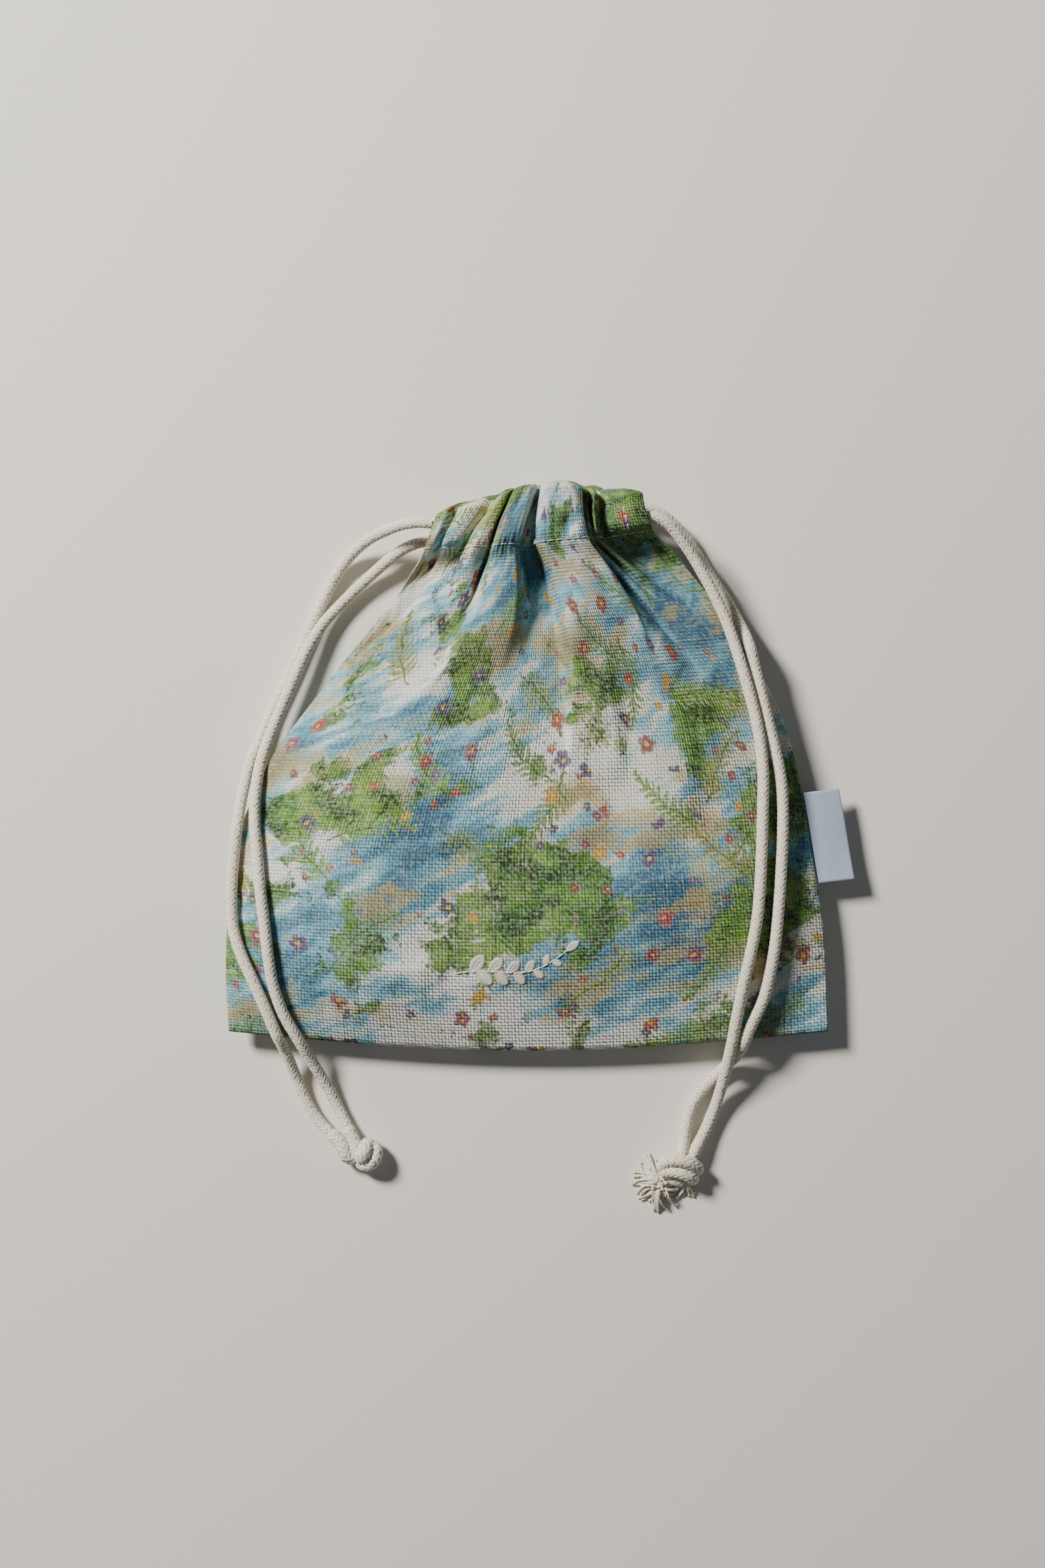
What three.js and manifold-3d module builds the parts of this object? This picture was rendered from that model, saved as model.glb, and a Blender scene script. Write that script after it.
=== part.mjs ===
import * as THREE from 'three';
import { mergeVertices } from 'three/addons/utils/BufferGeometryUtils.js';
import Module from 'manifold-3d';

// Kinchaku drawstring pouch lying flat on a table: two canvas panels with a folded casing each,
// two cotton cords drawn through both casings and knotted, and a label in the right side seam.
// Millimetres. X runs along the mouth, +Y points to the mouth, Z is up from the table.

// Driving dimensions of the pouch as it lies
const baseWidth = 205.6;        // across the bottom seam, from corner to corner
const baseCentreX = -3.3;       // the label stands out at the right, so the base lies left of the origin
const baseCornerY = -90;        // bottom corners, before the bottom seam bows out
const bottomBow = 6.6;          // how far the bottom seam bows out at its middle
const mouthWidth = 70;          // across the drawn mouth, outside the end folds
const mouthCentreX = 0.3;
const leftHeight = 175.4;       // from the bottom left corner to the top of the casing's left end
const rightHeight = 182.5;      // from the bottom right corner to the top of the casing's right end
const mouthBow = 8;             // how far the gathers stand up above the casing's two ends
const seamHeight = 8.5;         // the side and bottom seams above the table
const sideSeamTop = 11.5;       // the side seams just below the slits for the cords
const bellyHeight = 22.5;       // the front panel above the table at its middle
const clothThickness = 0.9;
const seamGap = 0.3;            // between the two panels along their seams
const frontRamp = 52;           // width over which the front panel rounds off to its seams
const backRamp = 30;            // width over which the back panel rounds up to its seams

// Cords and casing
const cordDiameter = 4;
const cordClearance = 0.8;      // between a cord and the cloth of its casing
const cordSpacing = 4.8;        // between the two cords that run side by side in one casing
const casingDepth = 21;         // from the top fold down to the stitch line
const mouthGap = 5;             // free height between the two casings, the way into the pouch
const backPleatDepth = 4.2;     // how far the back panel's gathers stand out
const backPleatCount = 8;
const restClearance = 0.9;      // the back gathers stay this far above the table
const casingInset = 0.2;        // share by which a casing's inner layer is drawn narrower

// Label in the right side seam
const labelWidth = 31;
const labelReach = 12.4;
const labelThickness = 0.6;
const labelTopY = -8.6;

// Heights of the stacked layers at the mouth, from the table up
const casingHalf = cordDiameter / 2 + cordClearance;
const backCordZ = restClearance + backPleatDepth + clothThickness + casingHalf;
const frontCordZ = backCordZ + 2 * casingHalf + 2 * clothThickness + mouthGap;
const frontCasingTop = frontCordZ + casingHalf + clothThickness;
const backCasingBottom = backCordZ - casingHalf - clothThickness;
const panelLength = (leftHeight + rightHeight) / 2 + mouthBow;
const stitchRow = 1 - casingDepth / panelLength;

// Monotone cubic through rows of [t, a, b, ...]; returns [a, b, ...] at t
function through(rows, t) {
  const last = rows.length - 1;
  const at = Math.min(Math.max(t, rows[0][0]), rows[last][0]);
  let low = 0;
  while (low < last - 1 && rows[low + 1][0] < at) low += 1;
  const slope = (index, column) =>
    (rows[index + 1][column] - rows[index][column]) / (rows[index + 1][0] - rows[index][0]);
  const tangent = (index, column) => {
    if (index === 0) return slope(0, column);
    if (index === last) return slope(last - 1, column);
    const before = slope(index - 1, column);
    const after = slope(index, column);
    return before * after <= 0 ? 0 : 2 * before * after / (before + after);
  };
  const span = rows[low + 1][0] - rows[low][0];
  const s = (at - rows[low][0]) / span;
  const values = [];
  for (let column = 1; column < rows[0].length; column += 1) {
    const start = rows[low][column];
    const end = rows[low + 1][column];
    values.push(start * (1 + 2 * s) * (1 - s) ** 2 + end * s * s * (3 - 2 * s)
      + span * (tangent(low, column) * s * (1 - s) ** 2 - tangent(low + 1, column) * s * s * (1 - s)));
  }
  return values;
}

const mix = (a, b, share) => a + (b - a) * share;
const smooth = (from, to, value) => THREE.MathUtils.smoothstep(value, from, to);

// Side edges: [row, width share between mouth (0) and base (1), height share]
const leftEdge = [
  [0, 0.985, 0], [0.10, 1, 0.115], [0.30, 0.965, 0.345], [0.42, 0.865, 0.46], [0.50, 0.77, 0.54],
  [0.57, 0.65, 0.607], [0.69, 0.40, 0.735], [0.79, 0.19, 0.842], [0.887, 0.045, 0.93],
  [0.95, 0.005, 0.972], [1, -0.02, 1],
];
const rightEdge = [
  [0, 1, 0], [0.13, 0.985, 0.15], [0.33, 0.91, 0.347], [0.47, 0.83, 0.497], [0.56, 0.745, 0.595],
  [0.65, 0.595, 0.694], [0.75, 0.41, 0.793], [0.84, 0.17, 0.893], [0.887, 0.065, 0.927],
  [0.95, 0.01, 0.975], [1, 0, 1],
];
// How far a row bows towards the mouth at its middle: [row, bow]
const rowBows = [[0, -bottomBow], [0.4, -2], [0.75, -3], [stitchRow, -2], [1, mouthBow]];

function edgePoint(rows, side, height, row) {
  const [share, rise] = through(rows, row);
  const mouthX = mouthCentreX + side * mouthWidth / 2;
  const baseX = baseCentreX + side * baseWidth / 2;
  return [mix(mouthX, baseX, share), baseCornerY + rise * height];
}

// Place on the plan of a row, across from the left edge (0) to the right edge (1)
function planPoint(across, row) {
  const [leftX, leftY] = edgePoint(leftEdge, -1, leftHeight, row);
  const [rightX, rightY] = edgePoint(rightEdge, 1, rightHeight, row);
  const bow = through(rowBows, row)[0] * Math.sin(Math.PI * across);
  return [mix(leftX, rightX, across), mix(leftY, rightY, across) + bow];
}

// Gathers of the front panel, left to right. Each line of the cloth has its share of the flat width,
// its place across the mouth and across the stitch line, its height over the casing at both, and how
// far it runs down the pouch: [cloth, at mouth, at stitch, height at mouth, height at stitch, reach]
const frontGathers = [
  [0, 0, 0, 0, -5, 20],               // left end of the casing
  [0.03, 0.06, 0.03, 1.2, -5, 20],
  [0.075, 0.14, 0.07, 0.8, -5, 22],
  [0.12, 0.265, 0.165, 0.6, -2.5, 24],
  [0.165, 0.315, 0.225, 6.6, 3.6, 34], // white slanting pleat
  [0.2, 0.345, 0.268, 5.6, 2, 30],
  [0.222, 0.353, 0.282, 0.8, -3.5, 30], // crease beside it
  [0.27, 0.376, 0.305, 7.6, 4.2, 48],
  [0.335, 0.425, 0.35, 8.8, 5.8, 50],   // bulging pleat
  [0.395, 0.47, 0.396, 8, 5.2, 46],
  [0.43, 0.482, 0.408, 3.6, 1, 40],
  [0.465, 0.49, 0.42, 0.3, -4.6, 40],   // deep valley with a triangular floor
  [0.54, 0.5, 0.47, 0.3, -5.4, 48],
  [0.58, 0.511, 0.487, 7.6, 5.4, 66],
  [0.61, 0.54, 0.515, 9.4, 8.2, 62],    // broad pleat in front
  [0.67, 0.605, 0.59, 10, 9, 60],
  [0.725, 0.66, 0.655, 9.6, 8.8, 58],
  [0.755, 0.683, 0.69, 7.6, 7.4, 56],
  [0.795, 0.696, 0.704, 0.5, -4, 48],
  [0.825, 0.722, 0.72, 4.8, 1.2, 25],   // small tight pleats
  [0.855, 0.745, 0.738, 1, -3, 24],
  [0.875, 0.767, 0.752, 5, 2, 22],
  [0.903, 0.792, 0.785, 0.3, -5.5, 26],
  [0.93, 0.85, 0.84, 2, -6, 30],
  [0.965, 0.92, 0.92, 2.2, -4.5, 26],
  [1, 1, 1, 0, -5, 20],                 // right end of the casing
];
const edgeDrift = 0.0024;             // share of the cloth by which the broad pleat's edge moves per mm
const fullGatherBelow = 8;            // run below the stitch line before that edge starts to move

// Soft folds of the body: a way of [x, y, height of its upper side], how far that side reaches, on
// which side of the way it lies (1 is the right), and the width of the crease itself
const bodyFolds = [
  [[[3.6, 62.8, 0], [7, 51.8, 2.4], [10, 42, 3], [11.5, 31.6, 2.4], [10.9, 19.3, 1.5], [9.6, -6, 0]],
    13, -1, 2],
  [[[-43.2, 24.5, 0], [-31.4, 34.3, 1.8], [-27.5, 42, 2.4], [-22.7, 51.8, 2], [-20.2, 58.9, 0]], 13, 1, 2],
  [[[-62, -6, 0], [-48, -15, 1.2], [-33, -19, 1.5], [-17, -20, 1], [-4, -18, 0]], 20, 1, 6],
  [[[66, -28, 0], [52, -34, 1.2], [38, -36, 1.5], [26, -34, 0]], 20, -1, 6],
  [[[-78, -55, 0], [-60, -64, 1.2], [-42, -66, 1.4], [-25, -63, 0]], 18, 1, 5],
  [[[40, 34, 0], [50, 16, 1.4], [55, -4, 1.6], [56, -24, 0]], 18, 1, 7],
  [[[-16, 30, 0], [-22, 12, 1.4], [-31, -3, 1.4], [-40, -12, 0]], 20, -1, 7],
  [[[22, 44, 0], [27, 26, 1.5], [29, 8, 1.2], [29, -8, 0]], 14, 1, 5],
];
const fanLength = 25;                 // run over which the gathers fan out to the flat cloth

// Share of the gathers' spread and depth that is left at a row, below the stitch line
const depthBelowStitch = (row) => Math.max(0, (stitchRow - row) * panelLength);
const casingShare = (row) => Math.min(1, Math.max(0, (row - stitchRow) / (1 - stitchRow)));

function frontAcross(cloth, row) {
  const [atMouth, atStitch] = through(frontGathers, cloth);
  const gathered = mix(atStitch, atMouth, casingShare(row));
  return mix(cloth, gathered, Math.exp(-depthBelowStitch(row) / fanLength));
}

function frontGatherHeight(cloth, row) {
  const depth = depthBelowStitch(row);
  const moving = smooth(0.60, 0.75, cloth) * (1 - smooth(0.88, 1, cloth));
  const drift = moving * edgeDrift * Math.max(depth - fullGatherBelow, 0);
  const [, , atMouth, atStitch, reach] = through(frontGathers, cloth - drift);
  const low = atStitch * (1 - smooth(0.1, 1, depth / reach));
  return mix(low, atMouth, smooth(-6, 4, (row - stitchRow) * panelLength));
}

// Height of one fold at a point of the plan: it breaks on its way and dies off on its upper side
function foldHeight([x, y], [way, reach, side, width]) {
  let nearest = Infinity;
  let height = 0;
  way.slice(1).forEach(([bx, by, high], index) => {
    const [ax, ay, low] = way[index];
    const length = Math.hypot(bx - ax, by - ay);
    const dx = (bx - ax) / length;
    const dy = (by - ay) / length;
    const along = THREE.MathUtils.clamp((x - ax) * dx + (y - ay) * dy, 0, length);
    const offX = x - ax - along * dx;
    const offY = y - ay - along * dy;
    const distance = Math.hypot(offX, offY);
    if (distance >= nearest) return;
    nearest = distance;
    const upper = smooth(-0.7 * width, 0.7 * width, side * (offX * dy - offY * dx));
    height = mix(low, high, smooth(0, 1, along / length)) * Math.exp(-((distance / reach) ** 2)) * upper;
  });
  return height;
}

const rowWidth = (row) => planPoint(1, row)[0] - planPoint(0, row)[0];
const fromSide = (cloth, row) => Math.min(cloth, 1 - cloth) * rowWidth(row);
const rounding = (distance, ramp, power) => 1 - (1 - Math.min(distance / ramp, 1)) ** power;
const seamZ = (row) => mix(seamHeight, sideSeamTop, smooth(0.5, 0.82, row));
const mouthShare = (row) => smooth(0.79, 0.93, row);

// The front panel's left border lies lower than the cloth beside it, as a strip that ends low down
const stripWidth = 9;
function stripShare(cloth, row) {
  const width = stripWidth * smooth(0.60, 0.80, row);
  return (1 - smooth(width - 1.5, width + 1.5, cloth * rowWidth(row))) * smooth(0.60, 0.7, row);
}

function frontOuterZ(cloth, row) {
  const seam = seamZ(row) + seamGap / 2 + clothThickness;
  const sides = rounding(fromSide(cloth, row), frontRamp, 2.3);
  const bottom = rounding(row * panelLength, frontRamp, 2.3);
  let pillow = mix(seam, bellyHeight, sides * bottom);
  pillow = mix(pillow, seam + 0.9 * Math.min(1, cloth * rowWidth(row) / 2), stripShare(cloth, row));
  const base = mix(pillow, frontCasingTop, mouthShare(row));
  const settled = cloth === 0 || cloth === 1 ? mouthShare(row) : 1;
  const place = planPoint(frontAcross(cloth, row), row);
  const folds = bodyFolds.reduce((sum, fold) => sum + foldHeight(place, fold), 0);
  const inside = smooth(0, 14, fromSide(cloth, row)) * smooth(0, 14, row * panelLength);
  return Math.max(base + settled * frontGatherHeight(cloth, row), seam) + inside * folds;
}

// The back panel lies flat on the table, rounds up to the seams and gathers under the mouth
function backOuterZ(cloth, row) {
  const seam = seamZ(row) - seamGap / 2 - clothThickness;
  const sides = rounding(fromSide(cloth, row), backRamp, 2);
  const bottom = rounding(row * panelLength, backRamp, 2);
  const pillow = seam * (1 - sides * bottom);
  const base = mix(pillow, backCasingBottom, mouthShare(row));
  const wave = (1 - Math.cos(2 * Math.PI * backPleatCount * cloth)) / 2;
  const depth = backPleatDepth * mouthShare(row);
  return base - wave * depth;
}

const meshMaterial = (color, roughness) => new THREE.MeshStandardMaterial({ color, roughness, metalness: 0 });

function closedGeometry(points, faces) {
  const geometry = new THREE.BufferGeometry();
  geometry.setAttribute('position', new THREE.Float32BufferAttribute(points.flat(), 3));
  geometry.setIndex(faces.flat());
  geometry.computeVertexNormals();
  return geometry;
}

// A panel is one sheet of canvas: a single layer in the body, folded back on itself above the stitch
// line so that a channel for the cords stays open from end to end. Its layers are height fields
// over one plan: the outer skin, the inner skin, and the roof and floor of the channel.
function panelGeometry(columns, bodyRows, across, outerZ, cordZ, up) {
  const casingRows = [0, 0.08, 0.18, 0.5, 0.84, 0.93, 1];
  const last = casingRows.length - 1;
  const rows = bodyRows.map((share) => share * stitchRow).concat(
    casingRows.slice(1).map((share) => mix(stitchRow, 1, share)));
  const bodyCount = bodyRows.length - 1;
  const points = [];
  const put = (x, y, z) => points.push([x, y, z]) - 1;
  const outer = [];
  const inner = [];
  const roof = [];
  const floor = [];
  columns.forEach((cloth, column) => {
    const lists = [outer, inner, roof, floor].map((list) => (list[column] = []));
    rows.forEach((row, line) => {
      const place = across(cloth, row);
      const [x, y] = planPoint(place, row);
      const step = line - bodyCount;
      const top = outerZ(cloth, row) * up;
      const open = step > 0 && step < last ? 1 : 0;
      const wide = step > 1 && step < last - 1 ? 1 : 0;
      const level = cordZ * up;
      const crest = step === last ? level + clothThickness + (top - level - casingHalf) * 0.55 : top;
      lists[0].push(put(x, y, crest * up));
      const follow = crest - (step >= 0 ? 2 : 1) * clothThickness;
      const flat = level - casingHalf - clothThickness;
      const under = open ? mix(Math.min(follow - 1.2, level - 0.8), flat, wide) : follow;
      const [innerX, innerY] = planPoint(0.5 + (place - 0.5) * (1 - casingInset * open), row);
      lists[1].push(put(innerX, innerY, under * up));
      lists[2].push(open ? put(x, y, (top - clothThickness) * up) : -1);
      lists[3].push(open ? put(innerX, innerY, (under + clothThickness) * up) : -1);
    });
  });
  const faces = [];
  const quad = (a, b, c, d) => faces.push([a, b, c], [a, c, d]);
  const top = rows.length - 1;
  const first = bodyCount + 1;
  const final = top - 1;
  for (let i = 0; i < columns.length - 1; i += 1) {
    for (let j = 0; j < top; j += 1) {
      quad(outer[i][j], outer[i + 1][j], outer[i + 1][j + 1], outer[i][j + 1]);
      quad(inner[i][j], inner[i][j + 1], inner[i + 1][j + 1], inner[i + 1][j]);
    }
    for (let j = first; j < final; j += 1) {
      quad(roof[i][j], roof[i][j + 1], roof[i + 1][j + 1], roof[i + 1][j]);
      quad(floor[i][j], floor[i + 1][j], floor[i + 1][j + 1], floor[i][j + 1]);
    }
    quad(inner[i][0], inner[i + 1][0], outer[i + 1][0], outer[i][0]);
    quad(outer[i][top], outer[i + 1][top], inner[i + 1][top], inner[i][top]);
    quad(roof[i][first], roof[i + 1][first], floor[i + 1][first], floor[i][first]);
    quad(floor[i][final], floor[i + 1][final], roof[i + 1][final], roof[i][final]);
  }
  const endFaces = (i) => {
    const list = [];
    const strip = (a, b, c, d) => list.push([a, b, c], [a, c, d]);
    for (let j = 0; j < bodyCount; j += 1) strip(outer[i][j], outer[i][j + 1], inner[i][j + 1], inner[i][j]);
    for (let j = first; j < final; j += 1) {
      strip(outer[i][j], outer[i][j + 1], roof[i][j + 1], roof[i][j]);
      strip(floor[i][j], floor[i][j + 1], inner[i][j + 1], inner[i][j]);
    }
    const low = bodyCount;
    list.push([outer[i][low], outer[i][first], roof[i][first]]);
    list.push([outer[i][low], roof[i][first], floor[i][first]]);
    list.push([outer[i][low], floor[i][first], inner[i][low]]);
    list.push([floor[i][first], inner[i][first], inner[i][low]]);
    list.push([outer[i][final], outer[i][top], roof[i][final]]);
    list.push([roof[i][final], outer[i][top], floor[i][final]]);
    list.push([outer[i][top], inner[i][top], floor[i][final]]);
    list.push([floor[i][final], inner[i][top], inner[i][final]]);
    return list;
  };
  faces.push(...endFaces(0));
  faces.push(...endFaces(columns.length - 1).map(([a, b, c]) => [a, c, b]));
  return closedGeometry(points, up > 0 ? faces : faces.map(([a, b, c]) => [a, c, b]));
}

// Columns of the front panel: each gather line and evenly placed ones between two of them
const frontColumns = frontGathers.flatMap(([cloth], index) => {
  const next = frontGathers[index + 1];
  if (!next) return [cloth];
  const pieces = next[0] - cloth > 0.038 ? 2 : 1;
  return Array.from({ length: pieces }, (_, piece) => mix(cloth, next[0], piece / pieces));
});
const backSteps = 4 * backPleatCount;
const backColumns = Array.from({ length: backSteps + 1 }, (_, index) => index / backSteps);
const frontBodyRows = [
  0, 0.02, 0.05, 0.1, 0.17, 0.26, 0.37, 0.48, 0.58, 0.67, 0.74, 0.8, 0.85, 0.89, 0.93, 0.965, 1,
];
const backBodyRows = [0, 0.03, 0.08, 0.16, 0.3, 0.5, 0.66, 0.76, 0.83, 0.89, 0.94, 1];

const pouch = new THREE.Group();
const canvas = meshMaterial('#dcdad2', 0.9);

function addMesh(name, geometry, material) {
  const mesh = new THREE.Mesh(geometry, material);
  mesh.name = name;
  pouch.add(mesh);
  return mesh;
}

addMesh('front_panel',
  panelGeometry(frontColumns, frontBodyRows, frontAcross, frontOuterZ, frontCordZ, 1), canvas);
addMesh('back_panel',
  panelGeometry(backColumns, backBodyRows, (cloth) => cloth, backOuterZ, backCordZ, -1), canvas);

// A label of folded ribbon stands out of the right side seam and droops a little to its free edge
function labelGeometry() {
  const rowsByRise = rightEdge.map(([row, , rise]) => [rise, row]);
  const lengthSteps = 6;
  const reachSteps = 3;
  const points = [];
  for (let i = 0; i <= lengthSteps; i += 1) {
    for (let j = 0; j <= reachSteps; j += 1) {
      const y = labelTopY - labelWidth * i / lengthSteps;
      const out = labelReach * j / reachSteps;
      const [row] = through(rowsByRise, (y - baseCornerY) / rightHeight);
      const [edgeX] = edgePoint(rightEdge, 1, rightHeight, row);
      const droop = 1.4 * (j / reachSteps) ** 2 * (0.6 + 0.4 * Math.cos(Math.PI * i / lengthSteps));
      const z = seamZ(row) - droop;
      points.push([edgeX + seamGap + out, y + 0.12 * out, z + labelThickness / 2]);
      points.push([edgeX + seamGap + out, y + 0.12 * out, z - labelThickness / 2]);
    }
  }
  const at = (i, j, under) => 2 * (i * (reachSteps + 1) + j) + under;
  const faces = [];
  const quad = (a, b, c, d) => faces.push([a, b, c], [a, c, d]);
  for (let i = 0; i < lengthSteps; i += 1) {
    for (let j = 0; j < reachSteps; j += 1) {
      quad(at(i, j, 0), at(i + 1, j, 0), at(i + 1, j + 1, 0), at(i, j + 1, 0));
      quad(at(i, j, 1), at(i, j + 1, 1), at(i + 1, j + 1, 1), at(i + 1, j, 1));
    }
    quad(at(i, 0, 0), at(i, 0, 1), at(i + 1, 0, 1), at(i + 1, 0, 0));
    const j = reachSteps;
    quad(at(i, j, 0), at(i + 1, j, 0), at(i + 1, j, 1), at(i, j, 1));
  }
  for (let j = 0; j < reachSteps; j += 1) {
    quad(at(0, j, 0), at(0, j + 1, 0), at(0, j + 1, 1), at(0, j, 1));
    const i = lengthSteps;
    quad(at(i, j, 0), at(i, j, 1), at(i, j + 1, 1), at(i, j + 1, 0));
  }
  return closedGeometry(points, faces);
}
addMesh('side_label', labelGeometry(), meshMaterial('#c9d0dc', 0.45));

// Free strands of the cords, from the casing to the knot, as they lie on the table and the pouch
const leftUpperStrand = [
  [-39.8, 82.5, 20.2], [-45.5, 82, 17.5], [-51.1, 80.5, 13.5], [-56.8, 78.2, 9.3],
  [-61.8, 74.8, 6], [-65.9, 70.5, 3.8], [-69.3, 65.5, 2.7], [-72.5, 59.5, 2.3], [-76.1, 52.3, 2.3],
  [-80.2, 43.2, 2.3], [-83.9, 34.5, 2.3], [-87.5, 26.6, 2.3], [-91.6, 18.2, 2.6], [-95.2, 9.5, 3.8],
  [-98.4, 0.5, 6.5], [-100.5, -9.8, 10], [-101.8, -20, 12.4], [-103, -31.4, 13], [-103.6, -42.7, 13.3],
  [-103.2, -53, 13.8], [-100.7, -62, 14.8], [-96.6, -71.1, 15.6], [-93, -79.1, 15.4], [-89.3, -88.2, 14.2],
  [-87.7, -92.2, 12.8], [-85.7, -97.3, 8.8], [-82.7, -106.4, 4], [-78.9, -115.5, 2.6],
  [-74.3, -122.3, 2.6], [-67.8, -128.6, 4.2],
];
const leftLowerStrand = [
  [-39.8, 77, 8.6], [-45.5, 74.8, 7.5], [-51.1, 70.9, 6], [-56.8, 66.1, 4.4],
  [-62.5, 60.9, 3.6], [-68.2, 55.2, 3.6], [-73.4, 49.3, 4.6], [-78, 41.8, 5.8], [-81.4, 34.5, 6.4],
  [-84.8, 26.6, 6.6], [-88.4, 18.2, 6.8], [-91.6, 10, 7.8], [-94.1, 1.6, 10.2], [-95.5, -8.6, 13.4],
  [-95.5, -18.9, 15.2], [-94.5, -29.1, 17], [-93.4, -40.5, 18], [-92, -51.8, 18.4], [-90.7, -63.2, 18.1],
  [-89.1, -73.4, 17.1], [-85.9, -83.2, 15.4], [-81.1, -92.3, 12.9], [-76.6, -100.9, 8], [-72, -109.5, 4.2],
  [-68, -117.7, 2.8], [-63.2, -127, 4.2],
];
const rightUpperStrand = [
  [42, 87, 8], [47, 83.4, 6.6], [51.6, 78.6, 5], [56.1, 71.8, 3.6], [60.5, 65, 3.2],
  [65.2, 57.3, 4.6], [69.6, 48.6, 8.6], [72.2, 41.4, 13.9], [74.2, 33.2, 14.4], [76.3, 24.3, 15],
  [78.5, 15.2, 15.4], [80.7, 6.1, 15.7], [82.5, -3, 16], [83.2, -13.2, 16.7], [83, -24.5, 17.7],
  [82.5, -33.6, 18.4], [81.8, -43.9, 19.2], [80.7, -56.4, 19.2], [79.3, -66.6, 18.5], [76.8, -78, 16.8],
  [73, -87, 14.9], [70.6, -93.4, 12.6], [68.6, -98.4, 7.8], [64.3, -103.4, 3.6], [58.4, -109.5, 2.3],
  [54.1, -115.5, 2.3], [51.8, -122.3, 2.8], [50.2, -131.6, 4.6],
];
const rightLowerStrand = [
  [39.4, 84.2, 21.2], [44.2, 81.8, 20.5], [48.4, 77.4, 19], [52.6, 71.6, 17.2],
  [56.6, 65, 16.2], [60.2, 58.4, 15.6], [63.9, 50.5, 15.4], [66.8, 42.5, 15.6], [69.3, 34.5, 16.2],
  [71.8, 25.5, 16.9], [74.1, 16.4, 17.2], [75.8, 6.1, 17.7], [76.4, -4.1, 18.5], [76.1, -15.5, 19.6],
  [75.7, -26.8, 20.5], [75, -40.5, 21.3], [73.9, -51.8, 21.4], [71.8, -63.2, 20.8], [69.5, -74.5, 18.9],
  [67.7, -84.8, 16.1], [66.1, -95, 13], [64.5, -104.1, 8.8], [62.5, -113.2, 4.6], [59.3, -122.3, 3],
  [53.9, -132.6, 4.6],
];

// The two cords of a casing lie one beside the other; one run is nearer to the mouth
const casingMiddle = 0.5;
const lineShare = cordSpacing / 2 / (leftHeight * (leftEdge.at(-1)[2] - leftEdge.at(-3)[2]));
const upperLine = casingMiddle + lineShare;
const lowerLine = casingMiddle - lineShare;
const turnStart = mouthWidth / 2 - 6.2; // where a cord turns from one casing into the other
const turnReach = 4.2;

function casingRun(line, z, fromX, toX) {
  const steps = 8;
  return Array.from({ length: steps + 1 }, (_, step) => {
    const x = mix(fromX, toX, step / steps);
    const [, y] = planPoint((x - mouthCentreX) / mouthWidth + 0.5, mix(stitchRow, 1, line));
    return [x, y, z];
  });
}

// A cord runs from its knot to one end of the front casing, through it, round its far end into the
// back casing, back through that and out to the knot again
function cordPoints(frontStrand, backStrand, frontLine, backLine, side) {
  const exitX = mouthCentreX + side * mouthWidth / 2;
  const turnX = mouthCentreX - side * turnStart;
  const front = casingRun(frontLine, frontCordZ, exitX, turnX);
  const back = casingRun(backLine, backCordZ, turnX, exitX);
  const startY = front.at(-1)[1];
  const endY = back[0][1];
  const turn = [0.1, 0.3, 0.5, 0.7, 0.9].map((share) => [
    turnX - side * turnReach * Math.sin(Math.PI * share),
    mix(startY, endY, share),
    mix(backCordZ, frontCordZ, (1 + Math.cos(Math.PI * share)) / 2),
  ]);
  return [...frontStrand.toReversed(), ...front, ...turn, ...back, ...backStrand];
}

// A path whose steps follow its chosen points, so that tight turns get short steps
class Route extends THREE.CatmullRomCurve3 {
  getPointAt(share, target) {
    return this.getPoint(share, target);
  }

  getTangentAt(share, target) {
    return this.getTangent(share, target);
  }
}

function tubeGeometry(points, radius, sides = 8) {
  const section = new THREE.Shape(Array.from({ length: sides }, (_, index) => {
    const angle = 2 * Math.PI * (index + 0.5) / sides;
    return new THREE.Vector2(radius * Math.cos(angle), radius * Math.sin(angle));
  }));
  const route = new Route(points.map(([x, y, z]) => new THREE.Vector3(x, y, z)));
  return new THREE.ExtrudeGeometry(section, { steps: points.length - 1, extrudePath: route });
}

const leftCordPoints = cordPoints(leftUpperStrand, leftLowerStrand, upperLine, lowerLine, -1);
const rightCordPoints = cordPoints(rightLowerStrand, rightUpperStrand, lowerLine, upperLine, 1);
const cotton = meshMaterial('#e0dccf', 0.92);
addMesh('left_cord', tubeGeometry(leftCordPoints, cordDiameter / 2), cotton);
addMesh('right_cord', tubeGeometry(rightCordPoints, cordDiameter / 2), cotton);

const wasm = await Module();
wasm.setup();
const touchGap = 0.3;

function solidOf(geometry) {
  const bare = geometry.clone();
  bare.deleteAttribute('normal');
  bare.deleteAttribute('uv');
  const merged = mergeVertices(bare, 1e-4);
  return new wasm.Manifold(new wasm.Mesh({
    numProp: 3,
    vertProperties: new Float32Array(merged.attributes.position.array),
    triVerts: new Uint32Array(merged.index.array),
  }));
}

function geometryOf(solid) {
  const { vertProperties, triVerts } = solid.getMesh();
  const geometry = new THREE.BufferGeometry();
  geometry.setAttribute('position', new THREE.BufferAttribute(vertProperties, 3));
  geometry.setIndex(new THREE.BufferAttribute(triVerts, 1));
  geometry.computeVertexNormals();
  return geometry;
}

// One wrap of a knot: a ring of cord round the strands, its axis along the strands
function wrap([x, y, z], ringRadius, heading, lean, radius) {
  const ring = new THREE.TorusGeometry(ringRadius, radius, 8, 14);
  ring.rotateY(Math.PI / 2);
  ring.rotateY(lean);
  ring.rotateZ(heading);
  ring.translate(x, y, z);
  return solidOf(ring);
}

const socketOf = (points) => solidOf(tubeGeometry(points, cordDiameter / 2 + touchGap));
const joined = (solids) => solids.reduce((sum, solid) => sum.add(solid));

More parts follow.
